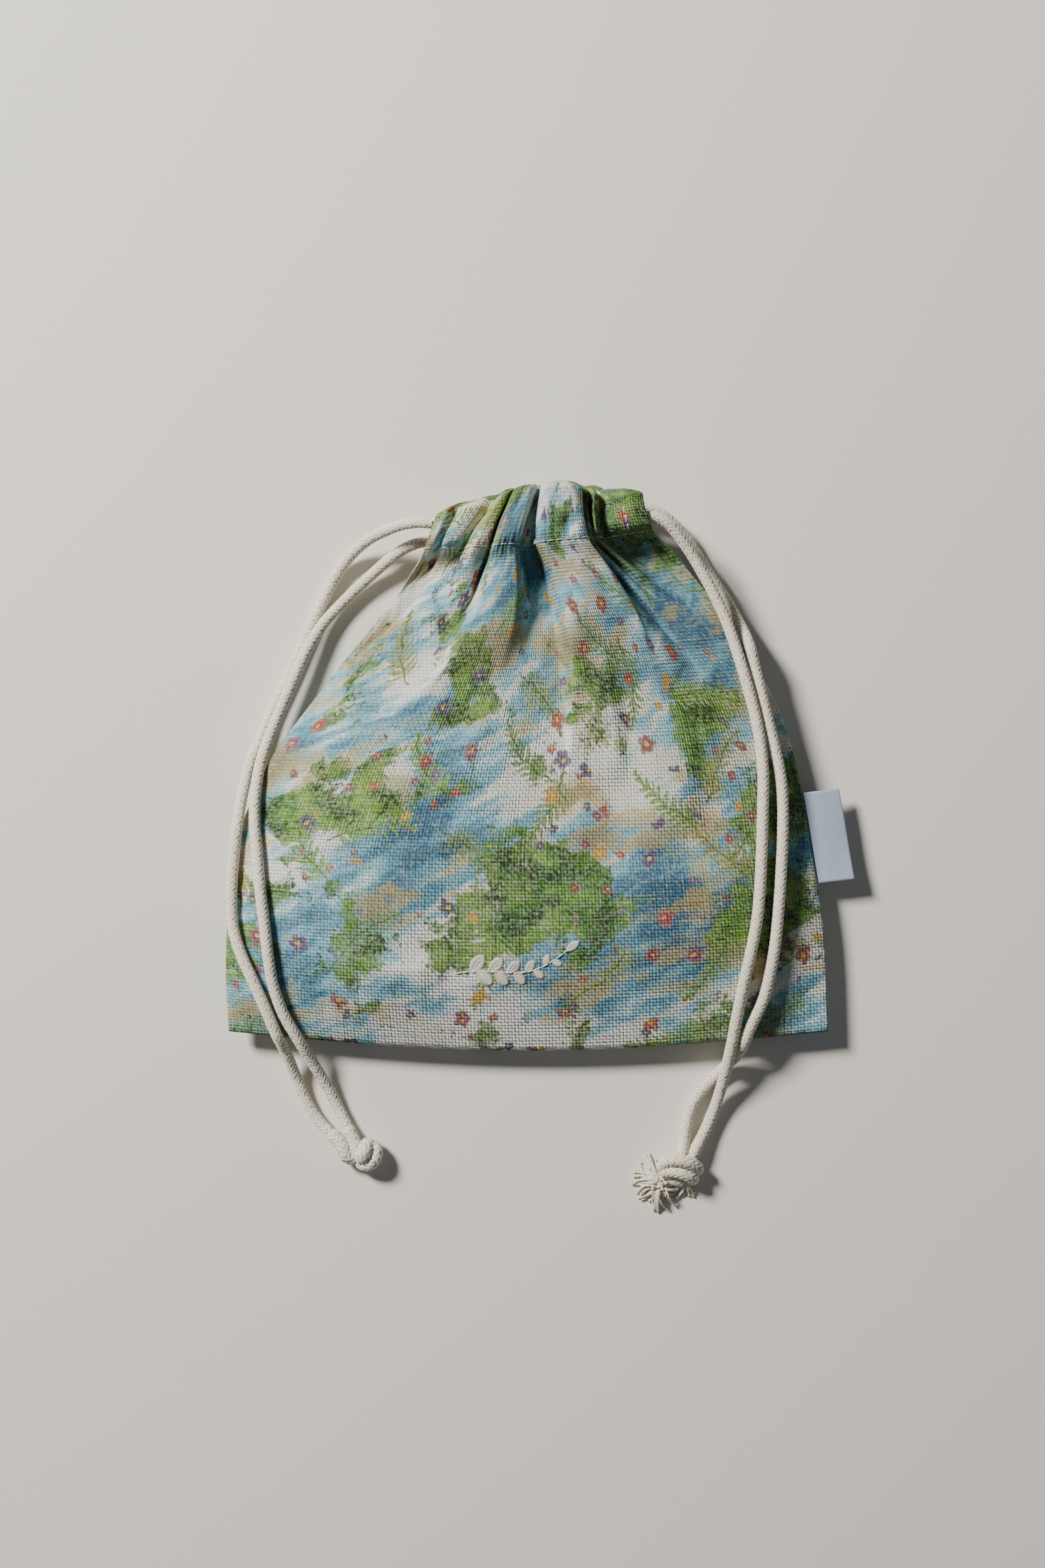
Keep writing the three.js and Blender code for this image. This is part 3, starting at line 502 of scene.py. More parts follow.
# Gathers of the front: [cloth, at mouth, at stitch, height at mouth, height at stitch, reach]. Where
# the places go back, a pleat leans over the valley at its right.
front_gathers = [
    [0, 0, 0, 0, -5, 20], [0.03, 0.062, 0.03, 2.6, -4, 20], [0.055, 0.108, 0.054, 0.3, -6, 22],
    [0.082, 0.16, 0.085, 3.4, -2.6, 26], [0.1, 0.21, 0.12, 3.2, -2.2, 26], [0.12, 0.265, 0.165, 0.6, -3, 24],
    [0.135, 0.28, 0.185, 3.4, 0.8, 26], [0.165, 0.315, 0.225, 6.6, 3.6, 34], [0.2, 0.348, 0.268, 5.6, 2, 30],
    [0.222, 0.352, 0.285, 0.6, -3.5, 30], [0.245, 0.362, 0.292, 4.6, 0.5, 40],
    [0.27, 0.376, 0.305, 7.6, 4.2, 48], [0.335, 0.425, 0.35, 8.8, 5.8, 50], [0.395, 0.474, 0.4, 8, 5.2, 46],
    [0.43, 0.486, 0.415, 3.6, 1, 40], [0.465, 0.489, 0.412, 0.2, -4.6, 40],
    [0.54, 0.5, 0.47, 0.2, -5.4, 48], [0.56, 0.5, 0.484, 3.6, -0.6, 60], [0.58, 0.508, 0.487, 7.6, 5.4, 66],
    [0.61, 0.54, 0.515, 9.4, 8.2, 62], [0.67, 0.605, 0.59, 10.2, 9, 60], [0.725, 0.67, 0.665, 9.6, 8.8, 58],
    [0.755, 0.702, 0.71, 7.6, 7.4, 56], [0.775, 0.705, 0.716, 4, 2.5, 52], [0.795, 0.684, 0.69, 0.4, -4, 48],
    [0.815, 0.712, 0.708, 4.4, 0.5, 26], [0.835, 0.73, 0.728, 5, 1.6, 24], [0.855, 0.742, 0.738, 1, -3, 24],
    [0.875, 0.765, 0.752, 5, 2, 22], [0.89, 0.786, 0.768, 3, 0.4, 22], [0.903, 0.79, 0.785, -0.6, -5.5, 26],
    [0.93, 0.85, 0.84, 2, -6, 30], [0.965, 0.92, 0.92, 2.2, -4.5, 26], [1, 1, 1, 0, -5, 20],
]
lean_shift = 0.0024  # share of the cloth by which the broad pleat's edge moves per mm

# Folds and creases of the front: a way of [x, y, height], below zero in a valley, then the reach of
# the fold, the side of the way on which it lies (1 is the right) and the width of the crease itself
pleat_foot = [(3.6, 62.8), (7, 51.8), (10, 42), (11.5, 31.6), (10.9, 19.3), (10.4, 8), (9.6, -6)]
left_foot = [(-43.2, 24.5), (-36.6, 28.4), (-31.4, 34.3), (-27.5, 42), (-22.7, 51.8), (-20.2, 58.9)]


def raised_way(way, *heights):
    return [[*place, height] for place, height in zip(way, heights)]


front_creases = [
    (raised_way(pleat_foot, 0, 2.4, 3, 2.4, 1.5, 0.7, 0), 13, -1, 1.6),
    (raised_way(pleat_foot, 0, -1.8, -3, -3.2, -2.8, -1.8, 0), 17, 1, 0.8),
    (raised_way(left_foot, 0, -1, -1.6, -1.8, -1.2, 0), 14, -1, 1.4),
    (raised_way(left_foot, 0, 1, 1.8, 2.4, 2, 0), 13, 1, 1.6),
    ([[32.3, 61.6, 0], [37.5, 64.5, 1.6], [42, 67.2, 1.6], [45.9, 68.6, 0.8]], 7, -1, 0.8),
    ([[-33.5, 65, 0], [-34.8, 59, 2], [-33, 52, 2], [-30, 47, 0]], 6, 1, 1.2),
    ([[-62, -6, 0], [-48, -15, 1.6], [-33, -19, 2], [-17, -20, 1.4], [-4, -18, 0]], 20, 1, 6),
    ([[66, -28, 0], [52, -34, 1.6], [38, -36, 2], [26, -34, 0]], 20, -1, 6),
    ([[-78, -55, 0], [-60, -64, 1.6], [-42, -66, 1.8], [-25, -63, 0]], 18, 1, 5),
    ([[40, 34, 0], [50, 16, 1.9], [55, -4, 2.1], [56, -24, 0]], 18, 1, 6),
    ([[-16, 30, 0], [-22, 12, 1.9], [-31, -3, 1.9], [-40, -12, 0]], 20, -1, 6),
    ([[22, 44, 0], [27, 26, 2], [29, 8, 1.6], [29, -8, 0]], 14, 1, 4),
]


def below_stitch(row):
    return np.maximum(0, (stitch_row - row) * panel_length)


def casing_share(row):
    return np.clip((row - stitch_row) / (1 - stitch_row), 0, 1)


def front_across(cloth, row):
    at_mouth, at_stitch = through(front_gathers, cloth)[:2]
    gathered = mix(at_stitch, at_mouth, casing_share(row))
    return mix(cloth, gathered, np.exp(-below_stitch(row) / fan_length))


def row_width(row):
    return plan_point(1, row)[0] - plan_point(0, row)[0]


def risen(cloth, row, ramp, power):
    """Share of its full height that a panel has reached at a distance from its seams."""
    share = 1
    for distance in (np.minimum(cloth, 1 - cloth) * row_width(row), row * panel_length):
        share = share * (1 - (1 - np.minimum(distance / ramp, 1)) ** power)
    return share


def seam_z(row):
    return mix(seam_height, side_seam_top, smooth(0.5, 0.82, row))


def mouth_share(row):
    return smooth(0.79, 0.93, row)


def soft_waves(u, v, seed, lengths, strength):
    """Small irregular undulation of cloth that has been washed and handled."""
    chance = random.Random(seed)
    height = np.zeros_like(u)
    for wave in lengths:
        for _ in range(4):
            heading = chance.uniform(0, pi)
            phase = chance.uniform(0, 2 * pi)
            k = 2 * pi / (wave * chance.uniform(0.8, 1.25))
            onward = u * cos(heading) + v * sin(heading)
            aside = v * cos(heading) - u * sin(heading)
            height += wave * np.sin(k * onward + phase + 1.3 * np.sin(k * 0.43 * aside))
    return height * strength / len(lengths)


def crease_height(x, y, route, reach, side, width):
    """A fold that breaks on its line and dies away on one side of it."""
    corners = np.array(route, dtype=float)
    nearest = np.full(x.shape, 1e9)
    height = np.zeros_like(x)
    for (ax, ay, low), (bx, by, high) in zip(corners[:-1], corners[1:]):
        length = hypot(bx - ax, by - ay)
        dx, dy = (bx - ax) / length, (by - ay) / length
        s = np.clip((x - ax) * dx + (y - ay) * dy, 0, length)
        off_x, off_y = x - ax - s * dx, y - ay - s * dy
        distance = np.hypot(off_x, off_y)
        signed = side * (off_x * dy - off_y * dx)
        on_side = smooth(-0.7 * width, 0.7 * width, signed)
        here = mix(low, high, smooth(0, 1, s / length)) * np.exp(-(distance / reach) ** 2) * on_side
        closer = distance < nearest
        nearest = np.where(closer, distance, nearest)
        height = np.where(closer, here, height)
    return height


wrinkle_lengths = (46, 27, 15)
wrinkle_height = 0.012  # as a share of a wrinkle's length
pucker_height = 0.3  # where the thread draws the cloth in
groove_depth = 0.35  # along the row of stitches
dimple_place = (10.2, 80.6)  # a dent in the casing of the broad pleat
dimple_reach = (2.2, 3.2)
dimple_depth = 2.2


def front_outer_z(cloth, row):
    seam = seam_z(row) + seam_gap / 2 + cloth_thickness
    width = row_width(row)
    pillow = mix(seam, belly_height, risen(cloth, row, front_ramp, front_roundness))
    strip = strip_width * smooth(0.60, 0.80, row)
    lowered = (1 - smooth(strip - 1.5, strip + 1.5, cloth * width)) * smooth(0.60, 0.7, row)
    pillow = mix(pillow, seam + 0.9 * np.minimum(1, cloth * width / 2), lowered)
    base = mix(pillow, front_casing_top, mouth_share(row))
    depth = below_stitch(row)
    moving = smooth(0.60, 0.75, cloth) * (1 - smooth(0.88, 1, cloth)) * lean_shift * np.maximum(depth - 8, 0)
    at_mouth, at_stitch, reach = through(front_gathers, cloth - moving)[2:]
    low = at_stitch * (1 - smooth(0.16, 1.12, depth / reach))
    gather = mix(low, at_mouth, smooth(-6, 4, (row - stitch_row) * panel_length))
    edge = np.minimum(cloth, 1 - cloth) * width
    settled = mix(mouth_share(row), 1, smooth(0, 2, edge))
    z = np.maximum(base + settled * gather, seam)
    inside = smooth(0, 14, edge) * smooth(0, 14, row * panel_length)
    u, v = cloth * base_width, row * panel_length
    x, y = plan_point(front_across(cloth, row), row)
    folds = sum(crease_height(x, y, *crease) for crease in front_creases)
    z = z + inside * (folds + soft_waves(u, v, 3, wrinkle_lengths, wrinkle_height))
    from_stitch = np.abs(row - stitch_row) * panel_length
    within = smooth(0, 3, edge)
    crimp = np.sin(u * 1.15 + 2.2 * np.sin(u * 0.29)) * np.sin(u * 0.47 + 1) * pucker_height * within
    crimp = crimp * np.exp(-from_stitch / 5)
    groove = -groove_depth * np.exp(-(from_stitch / 0.9) ** 2) * within
    from_seam = np.minimum(row * panel_length, edge + 60 * mouth_share(row))
    seam_crimp = np.sin((u + v) * 0.8 + 1.2 * np.sin((u + v) * 0.13)) * pucker_height
    seam_crimp = seam_crimp * np.exp(-from_seam / 7) * smooth(0, 1.5, from_seam)
    off_x, off_y = (x - dimple_place[0]) / dimple_reach[0], (y - dimple_place[1]) / dimple_reach[1]
    dimple = -dimple_depth * np.exp(-(off_x ** 2 + off_y ** 2))
    return z + crimp + groove + seam_crimp + dimple


def back_wave(cloth):
    """The back's gathers, 1 in a valley and -1 on a crown; drawn up by hand, they are a little uneven."""
    return np.cos(2 * pi * back_pleat_count * (cloth + 0.011 * np.sin(2 * pi * 2.3 * cloth)))


def back_outer_z(cloth, row):
    seam = seam_z(row) - seam_gap / 2 - cloth_thickness
    risen_share = risen(cloth, row, back_ramp, back_roundness)
    base = mix(seam * (1 - risen_share), back_casing_bottom, mouth_share(row))
    depth = back_pleat_depth * (1 - 0.12 * (1 + np.sin(2 * pi * 3.1 * cloth + 1)))
    return base - (1 - back_wave(cloth)) / 2 * depth * mouth_share(row)


def thick_sheet(name, grid, uvs, thickness):
    """A closed sheet from a grid of points on its outer side; thickness is signed like the grid's turn."""
    normal = np.cross(np.gradient(grid, axis=0), np.gradient(grid, axis=1))
    normal /= np.maximum(np.linalg.norm(normal, axis=2), 1e-9)[..., None]
    other = grid - normal * thickness
    across_count, along_count = grid.shape[:2]
    i, j = np.meshgrid(np.arange(across_count - 1), np.arange(along_count - 1), indexing="ij")
    a = i * along_count + j
    b, c, d = a + along_count, a + along_count + 1, a + 1
    shift = across_count * along_count
    index = np.arange(shift).reshape(across_count, along_count)
    border = np.concatenate([index[:, 0], index[-1, 1:], index[-2::-1, -1], index[0, -2::-1]])
    faces = np.concatenate([
        np.stack([a, b, c, d], axis=-1).reshape(-1, 4),
        np.stack([a, d, c, b], axis=-1).reshape(-1, 4) + shift,
        np.stack([border[1:], border[:-1], border[:-1] + shift, border[1:] + shift], axis=-1),
    ])
    if thickness < 0:
        faces = faces[:, ::-1]
    points = np.concatenate([grid.reshape(-1, 3), other.reshape(-1, 3)])
    return new_piece(name, points, faces, uvs=np.concatenate([uvs.reshape(-1, 2)] * 2))


scallop_share = 0.28  # how much of a gather's height also shows along the pouch
scallop_level = 9.5  # a gather of this height
scallop_back = 2.7  # lies this far back from the row of the mouth
back_scallop = 0.9


def front_scallops(cloth):
    """How far each gather's top stands out above the row of the mouth, or lies back from it."""
    top = (through(front_gathers, cloth)[2] - scallop_level) * scallop_share - scallop_back
    return top * smooth(0.02, 0.14, cloth) * (1 - smooth(0.92, 1, cloth))


def back_scallops(cloth):
    return -back_scallop * back_wave(cloth)


front_shape = (front_across, front_outer_z, front_scallops)
back_shape = (lambda cloth, row: cloth, back_outer_z, back_scallops)


def skin_points(cloth, row, across, outer_z, scallops):
    """Points on the outer side of a panel."""
    x, y = plan_point(across(cloth, row), row)
    y = y + scallops(cloth) * smooth(0.2, 1, casing_share(row))
    return np.stack([x, y, outer_z(cloth, row)], axis=-1)


def panel(name, columns, body_rows, shape, cord_z, up):
    """A closed sheet: the skin from the bottom seam to the top, round the fold and down inside."""
    across, outer_z, scallops = shape
    fold_reach = 2.0
    top_row = 1 - fold_reach / panel_length
    casing_rows = mix(stitch_row, top_row, np.linspace(0, 1, 25))[1:]
    rows = np.concatenate([body_rows * stitch_row, casing_rows])
    cloth, row = np.meshgrid(columns, rows, indexing="ij")
    skin = skin_points(cloth, row, *shape)
    level = cord_z - up * (casing_half + cloth_thickness)
    edge_cloth, angle = np.meshgrid(columns, np.linspace(0, pi, 8)[1:], indexing="ij")
    turned = (1 - np.cos(angle)) / 2
    fold_row = top_row + (1 - top_row) * np.sin(angle)
    narrow = mix(1, 1 - casing_inset, turned)
    place = across(edge_cloth, fold_row)
    fold_x, fold_y = plan_point(0.5 + (place - 0.5) * narrow, fold_row)
    fold_y = fold_y + scallops(edge_cloth) * narrow ** 4
    fold = np.stack([fold_x, fold_y, mix(skin[:, -1:, 2], level, turned)], axis=-1)
    under_rows = mix(top_row, stitch_row, np.linspace(0, 1, 12))[1:]
    under_cloth, under_row = np.meshgrid(columns, under_rows, indexing="ij")
    share = casing_share(under_row)
    inset = mix(1, 1 - casing_inset, smooth(0, 0.2, share))
    place = across(under_cloth, under_row)
    under_x, under_y = plan_point(0.5 + (place - 0.5) * inset, under_row)
    beneath = outer_z(under_cloth, under_row) - up * 2.4 * cloth_thickness
    under = np.stack([under_x, under_y, mix(beneath, level, smooth(0.03, 0.2, share))], axis=-1)
    grid = np.concatenate([skin, fold, under], axis=1)
    u = np.broadcast_to((columns * base_width)[:, None], grid.shape[:2])
    v = way_along(grid.mean(axis=0))
    uvs = np.stack([u, np.broadcast_to(v, grid.shape[:2])], axis=-1)
    return thick_sheet(name, grid, uvs, up * cloth_thickness), v[-1]


# The cloth is printed in loose watercolour: slanting blue and ochre strokes on unbleached white, leafy
# thickets, fronds and small blossoms. Real threads are 0.45 mm apart, finer than the picture shows, so
# the weave is drawn coarser, at 1.15 mm. All lengths of the print are millimetres on the flat cloth.
thread_pitch = 1.15
frond_spacing = 37.0
frond_length = 30.0
leaflet_pitch = 3.0
blossom_spacing = 17.0
dab_spacing = 2.0

canvas, tree = new_material("printed cotton canvas")


def vec(operation, a, b=(0.0, 0.0, 0.0)):
    second = "Scale" if operation == "SCALE" else "Vector#1"
    return add("VectorMath", {"Vector#0": a, second: b}, operation=operation)


def noise(place, size, detail=2.0, shift=0.0, stretch=(1.0, 1.0), roughness=0.5):
    """Noise with blotches of a given size in millimetres, stretched along and across the cloth."""
    scaled = vec("MULTIPLY", place, (1 / size / stretch[0], 1 / size / stretch[1], 0.0))
    return add("TexNoise", {"Vector": vec("ADD", scaled, (shift, shift * 0.7, 0.0)), "Scale": 1.0,
                            "Detail": detail, "Roughness": roughness}, noise_dimensions="2D")


def step(value, low, high):
    return add("MapRange", {"Value": value, "From Min": low, "From Max": high},
               interpolation_type="SMOOTHSTEP")


def parts_of(vector):
    split = add("SeparateXYZ", {"Vector": vector}).node
    return split.outputs["X"], split.outputs["Y"]


def scatter(place, spacing, shift, evenness=0.75):
    """Places strewn over the cloth: the way from the nearest one, turned at random, and its chances."""
    moved = vec("ADD", vec("SCALE", place, 1 / spacing), (shift, shift * 1.7, 0.0))
    cells = add("TexVoronoi", {"Vector": moved, "Scale": 1.0, "Randomness": evenness},
                voronoi_dimensions="2D").node
    chances = add("SeparateColor", {"Color": cells.outputs["Color"]}).node
    away = vec("SCALE", vec("SUBTRACT", moved, cells.outputs["Position"]), spacing)
    turn = times(chances.outputs["Red"], 2 * pi)
    turned = add("VectorRotate", {"Vector": away, "Angle": turn}, rotation_type="Z_AXIS")
    return *parts_of(turned), chances.outputs["Green"], chances.outputs["Blue"]


def pick(chance, colours):
    """One of some colours, by chance."""
    ramp = add("ValToRGB", {"Fac": chance})
    stops = ramp.node.color_ramp
    stops.interpolation = "CONSTANT"
    for _ in range(len(colours) - 2):
        stops.elements.new(0.5)
    for index, colour in enumerate(colours):
        stops.elements[index].position = index / len(colours)
        stops.elements[index].color = linear(colour)
    return ramp


uv = add("UVMap", uv_map="cloth")


def wobbled(place, size, shift, reach):
    """A place moved a little at random, as a brush strays."""
    stray = vec("SUBTRACT", noise(uv, size, 2.0, shift).node.outputs["Color"], (0.5, 0.5, 0.5))
    return vec("ADD", place, vec("SCALE", stray, reach))


painted = wobbled(uv, 5.0, 0.0, 3.2)
ragged = wobbled(painted, 1.3, 6.0, 2.4)

# Ground and washes
stroke_slant = -0.45  # radians from the weft
ground = over("#e4e6e2", "#d8d6c8", step(noise(uv, 60.0, 2.0, 4.0), 0.45, 0.7))
stroked = add("VectorRotate", {"Vector": painted, "Angle": stroke_slant}, rotation_type="Z_AXIS")
brush = noise(stroked, 7.0, 4.0, 2.0, (2.8, 0.8), 0.62)
cloud = noise(stroked, 46.0, 3.0, 7.3, (1.5, 0.85), 0.55)
blue_depth = plus(cloud, times(minus(brush, 0.5), 0.55))
sand = plus(noise(painted, 27.0, 3.0, 21.6, (1.6, 0.8)), times(minus(brush, 0.5), -0.5))
washed = ground
for depth, ink, low, high, strength in (
    (blue_depth, "#8fc3d2", 0.41, 0.52, 1.0), (blue_depth, "#4a8ca8", 0.47, 0.62, 0.8),
    (blue_depth, "#224d6c", 0.57, 0.74, 0.75), (sand, "#b5a24a", 0.53, 0.66, 0.6),
    (sand, "#7c5f1e", 0.62, 0.76, 0.5),
):
    washed = over(washed, ink, times(step(depth, low, high), strength))

# Leafy thickets: dabs of several greens, lit on one side of each clump and strewn thinly at its rim
clump = noise(painted, 60.0, 5.0, 35.1, (1.0, 0.85), 0.58)
greens = ["#16300e", "#254a12", "#356318", "#4a7c20", "#64922b", "#8aac49"]
shade = step(noise(painted, 11.0, 3.0, 17.7, (1.0, 0.8)), 0.36, 0.64)
leafy = over(washed, "#587f2c", times(step(clump, 0.525, 0.56), 0.85))
for layer, threshold in enumerate((0.525, 0.54, 0.56, 0.58)):
    along, across_leaf, chance, tone = scatter(ragged, dab_spacing, 11.3 * layer + 2.1, 1.0)
    width = plus(times(num("ABSOLUTE", along), 0.5), num("ABSOLUTE", across_leaf))
    shape = step(width, 0.7, 0.35)
    near_rim = plus(clump, times(minus(chance, 0.5), 0.06))
    there = step(near_rim, threshold, threshold + 0.01)
    lit = plus(times(shade, 0.75), times(tone, 0.25))
    leafy = over(leafy, pick(lit, greens), times(shape, times(there, 0.8)))

# Fronds: a stem with paired leaflets that shorten to its tip
grown = leafy
for layer, shift in enumerate((5.7, 47.2)):
    along, side_way, chance, tone = scatter(painted, frond_spacing, shift, 0.55)
    bent = plus(side_way, times(along, along, 0.012))
    off = num("ABSOLUTE", bent)
    share = plus(num("DIVIDE", along, frond_length), 0.5)
    envelope = times(num("SQRT", num("MAXIMUM", minus(1.0, share), 0.0)), 6.4)
    within = times(step(share, 0.02, 0.12), step(minus(envelope, off), -0.2, 0.3))
    slanted = num("DIVIDE", minus(along, times(off, 0.8)), leaflet_pitch)
    from_middle = num("ABSOLUTE", minus(num("FRACT", plus(slanted, 50.0)), 0.5))
    tapered = num("MAXIMUM", minus(1.0, num("DIVIDE", off, envelope)), 0.0)
    leaf_width = times(num("SQRT", tapered), 0.42)
    leaflet = step(minus(leaf_width, from_middle), -0.04, 0.05)
    stem = times(step(off, 0.42, 0.2), step(num("ABSOLUTE", minus(share, 0.45)), 0.55, 0.5))
    shape = num("MAXIMUM", times(leaflet, within), stem)
    there = times(step(chance, 0.48, 0.49), 0.9)
    tint = over(pick(tone, ["#4f8a25", "#2f6420", "#6f9c2c", "#2f7a62", "#77701c"]), "#c3d487",
                times(noise(painted, 2.2, 2.0, shift), 0.55))
    grown = over(grown, tint, times(shape, there))
    grown = over(grown, "#2d3a1a", times(stem, there, 0.6))

# Blossoms of five petals round a yellow eye
for layer, (spacing, radius, shift) in enumerate(((blossom_spacing, 3.3, 3.9), (11.0, 1.9, 71.3))):
    x_way, y_way, chance, tone = scatter(painted, spacing, shift, 0.8)
    far = num("SQRT", plus(times(x_way, x_way), times(y_way, y_way)))
    petals = num("ABSOLUTE", num("COSINE", times(num("ARCTAN2", y_way, x_way), 2.5)))
    rim = times(plus(times(num("SQRT", petals), 0.55), 0.45), radius)
    shape = step(minus(rim, far), -0.15, 0.15)
    bed = step(noise(painted, 30.0, 1.0, 90.4 + 13 * layer), 0.51, 0.55)
    near = times(bed, step(chance, 0.15, 0.16))
    tint = pick(tone, ["#780609", "#700b49", "#0d1856", "#960c12", "#371566", "#b88a06"])
    tint = over(tint, "#efe9de", times(num("DIVIDE", far, radius), 0.18))
    grown = over(grown, tint, times(shape, near, 0.95))
    grown = over(grown, "#d9b43c", times(near, step(far, radius * 0.3, radius * 0.18)))

# Plain weave: slubs stay paler, and the gaps between the thread crowns are darkened as painted shade
warp, weft = (num("DIVIDE", way, thread_pitch) for way in parts_of(uv))
crown_u, crown_v = (num("SINE", times(num("FRACT", way), pi)) for way in (warp, weft))
parity = num("PINGPONG", plus(num("FLOOR", warp), num("FLOOR", weft)), 1.0)
warp_over = times(crown_u, plus(times(crown_v, 0.5), 0.5))
weft_over = times(crown_v, plus(times(crown_u, 0.5), 0.5))
weave = plus(times(warp_over, parity), times(weft_over, minus(1.0, parity)))
slub = plus(noise(uv, 1.0, 1.0, 3.0, (0.8, 14.0)), noise(uv, 1.0, 1.0, 8.0, (14.0, 0.8)))
slubbed_and_gap_shaded = over(grown, "#f1eee4", times(step(slub, 1.0, 1.35), 0.15))
# Painted shade in the gaps between the thread crowns
slubbed_and_gap_shaded = over(slubbed_and_gap_shaded, "#57524a", times(minus(1.0, weave), 0.3))
mottled = over(slubbed_and_gap_shaded, "#f1eee4", times(step(noise(uv, 1.4, 3.0, 14.0), 0.5, 0.75), 0.16))
raised = plus(weave, times(slub, 0.8))
surface({
    "Base Color": mottled, "Roughness": 0.92, "Specular IOR Level": 0.15,
    "Normal": bump(raised, 0.8, 0.0003),
})

front_rows = 1 - (1 - np.linspace(0, 1, 146)) ** 1.15  # closer together near the stitch line
front, front_run = panel("front_cloth", np.linspace(0, 1, 241), front_rows, front_shape, front_cord_z, 1)
take_place(front, canvas, "canvas", "front_panel")
back, back_run = panel("back_cloth", np.linspace(0, 1, 161), np.linspace(0, 1, 91), back_shape,
                       back_cord_z, -1)
take_place(back, canvas, "canvas", "back_panel")


# Sewing thread: both casings are topstitched along their lower edge, the front one also across its open ends
stitch_length = 2.4
stitch_gap = 0.7
thread_radius = 0.18
stitch_step = 0.3  # spacing of the points along a row of stitches

sewing, tree = new_material("off-white polyester thread")
place = add("TexCoord").node.outputs["Object"]
ply = add("TexWave", {"Vector": place, "Scale": 900.0, "Distortion": 2.0}, bands_direction="DIAGONAL")
surface({
    "Base Color": over("#d9d3c4", "#f4f0e6", ply), "Roughness": 0.55, "Sheen Weight": 0.2,
    "Normal": bump(ply, 0.4, 0.0001),
})


def stitch(line, lift):
    """One stitch along some points: it rises from the cloth, lies on it and sinks into it again."""
    path = np.array(line, dtype=float)
    share = np.linspace(0, 1, len(path))
    path[:, 2] += lift * (thread_radius * 1.7 * np.sin(pi * share) ** 0.4 - thread_radius)
    return cord_tube(path, thread_radius, sides=6)


def stitch_row_along(line, lift):
    """Stitches along a fine line on the cloth, thread lying on top for a stitch and under for a gap."""
    line = even_path(line[::4], stitch_step)
    step_count, gap_count = round(stitch_length / stitch_step), round(stitch_gap / stitch_step)
    return [stitch(line[start:start + step_count + 1], lift)
            for start in range(0, len(line) - step_count, step_count + gap_count)]


across_cloth = np.linspace(0.002, 0.998, 900)
hem_row = np.full(len(across_cloth), stitch_row + 0.5 / panel_length)
end_rows = np.linspace(stitch_row + 2.0 / panel_length, 0.985, 60)
end_places = (0.05, 0.955)  # shares of the cloth, beside the casing's two open ends
front_stitches = stitch_row_along(skin_points(across_cloth, hem_row, *front_shape), 1)
for place in end_places:
    front_stitches += stitch_row_along(skin_points(np.full(len(end_rows), place), end_rows, *front_shape), 1)
front_topstitch = take_place(new_piece("front_topstitch", *join_parts(front_stitches)), sewing, "canvas")
back_stitches = stitch_row_along(skin_points(across_cloth, hem_row, *back_shape), -1)
back_topstitch = take_place(new_piece("back_topstitch", *join_parts(back_stitches)), sewing, "canvas")


# A small leafy sprig is embroidered low on the front, in thick off-white thread: a backstitched stem
# and leaves of slanting satin stitches on both sides of a midrib.
sprig_from = (-27.5, -69.5)
sprig_to = (11.5, -60.5)
sprig_sag = 4.2
stem_stitches = 16
leaf_length = 7.6
leaf_half_width = 2.3
leaf_angle = 0.85  # between a leaf and the stem, radians
satin_pitch = 0.62  # between two stitches of a leaf
embroidery_radius = 0.27

mesh = front.data
count = len(mesh.vertices) // 2
corners = [vertex.co for vertex in mesh.vertices[:count]]
skin_faces = [tuple(face.vertices) for face in mesh.polygons if max(face.vertices) < count]
cloth_top = BVHTree.FromPolygons(corners, skin_faces)


def on_cloth(x, y):
    hit = cloth_top.ray_cast(Vector((x * MM, y * MM, 0.1)), Vector((0, 0, -1)))[0]
    return [x, y, hit.z / MM]


def embroidery_stitch(start, end, radius=embroidery_radius):
    """A stitch between two plan points, lying on the cloth and sinking in at both ends."""
    line = []
    for step_index in range(6):
        share = step_index / 5
        point = on_cloth(mix(start[0], end[0], share), mix(start[1], end[1], share))
        point[2] += radius * (1.9 * sin(pi * share) ** 0.5 - 0.9)
        line.append(point)
    return cord_tube(np.array(line), radius, sides=7)


def stem_point(share):
    x, y = mix(sprig_from[0], sprig_to[0], share), mix(sprig_from[1], sprig_to[1], share)
    return x, y - sprig_sag * sin(pi * share) + 1.6 * sin(2 * pi * share)


def leaf_stitches(root, heading, length, half_width):
    """Slanting stitches from the midrib of a leaf to its two edges."""
    along_x, along_y = cos(heading), sin(heading)
    stitches = [embroidery_stitch(root, (root[0] + length * along_x, root[1] + length * along_y))]
    rows_of_stitches = round(length / satin_pitch)
    for index in range(1, rows_of_stitches):
        share = index / rows_of_stitches
        width = half_width * sin(pi * share ** 0.8) ** 0.8
        rib = (root[0] + length * (share - 0.10) * along_x, root[1] + length * (share - 0.10) * along_y)
        for side in (-1, 1):
            out_x, out_y = -side * along_y * width, side * along_x * width
            ahead = 0.55 * width
            end = (rib[0] + out_x + ahead * along_x, rib[1] + out_y + ahead * along_y)
            stitches.append(embroidery_stitch(rib, end, embroidery_radius * 0.95))
    return stitches


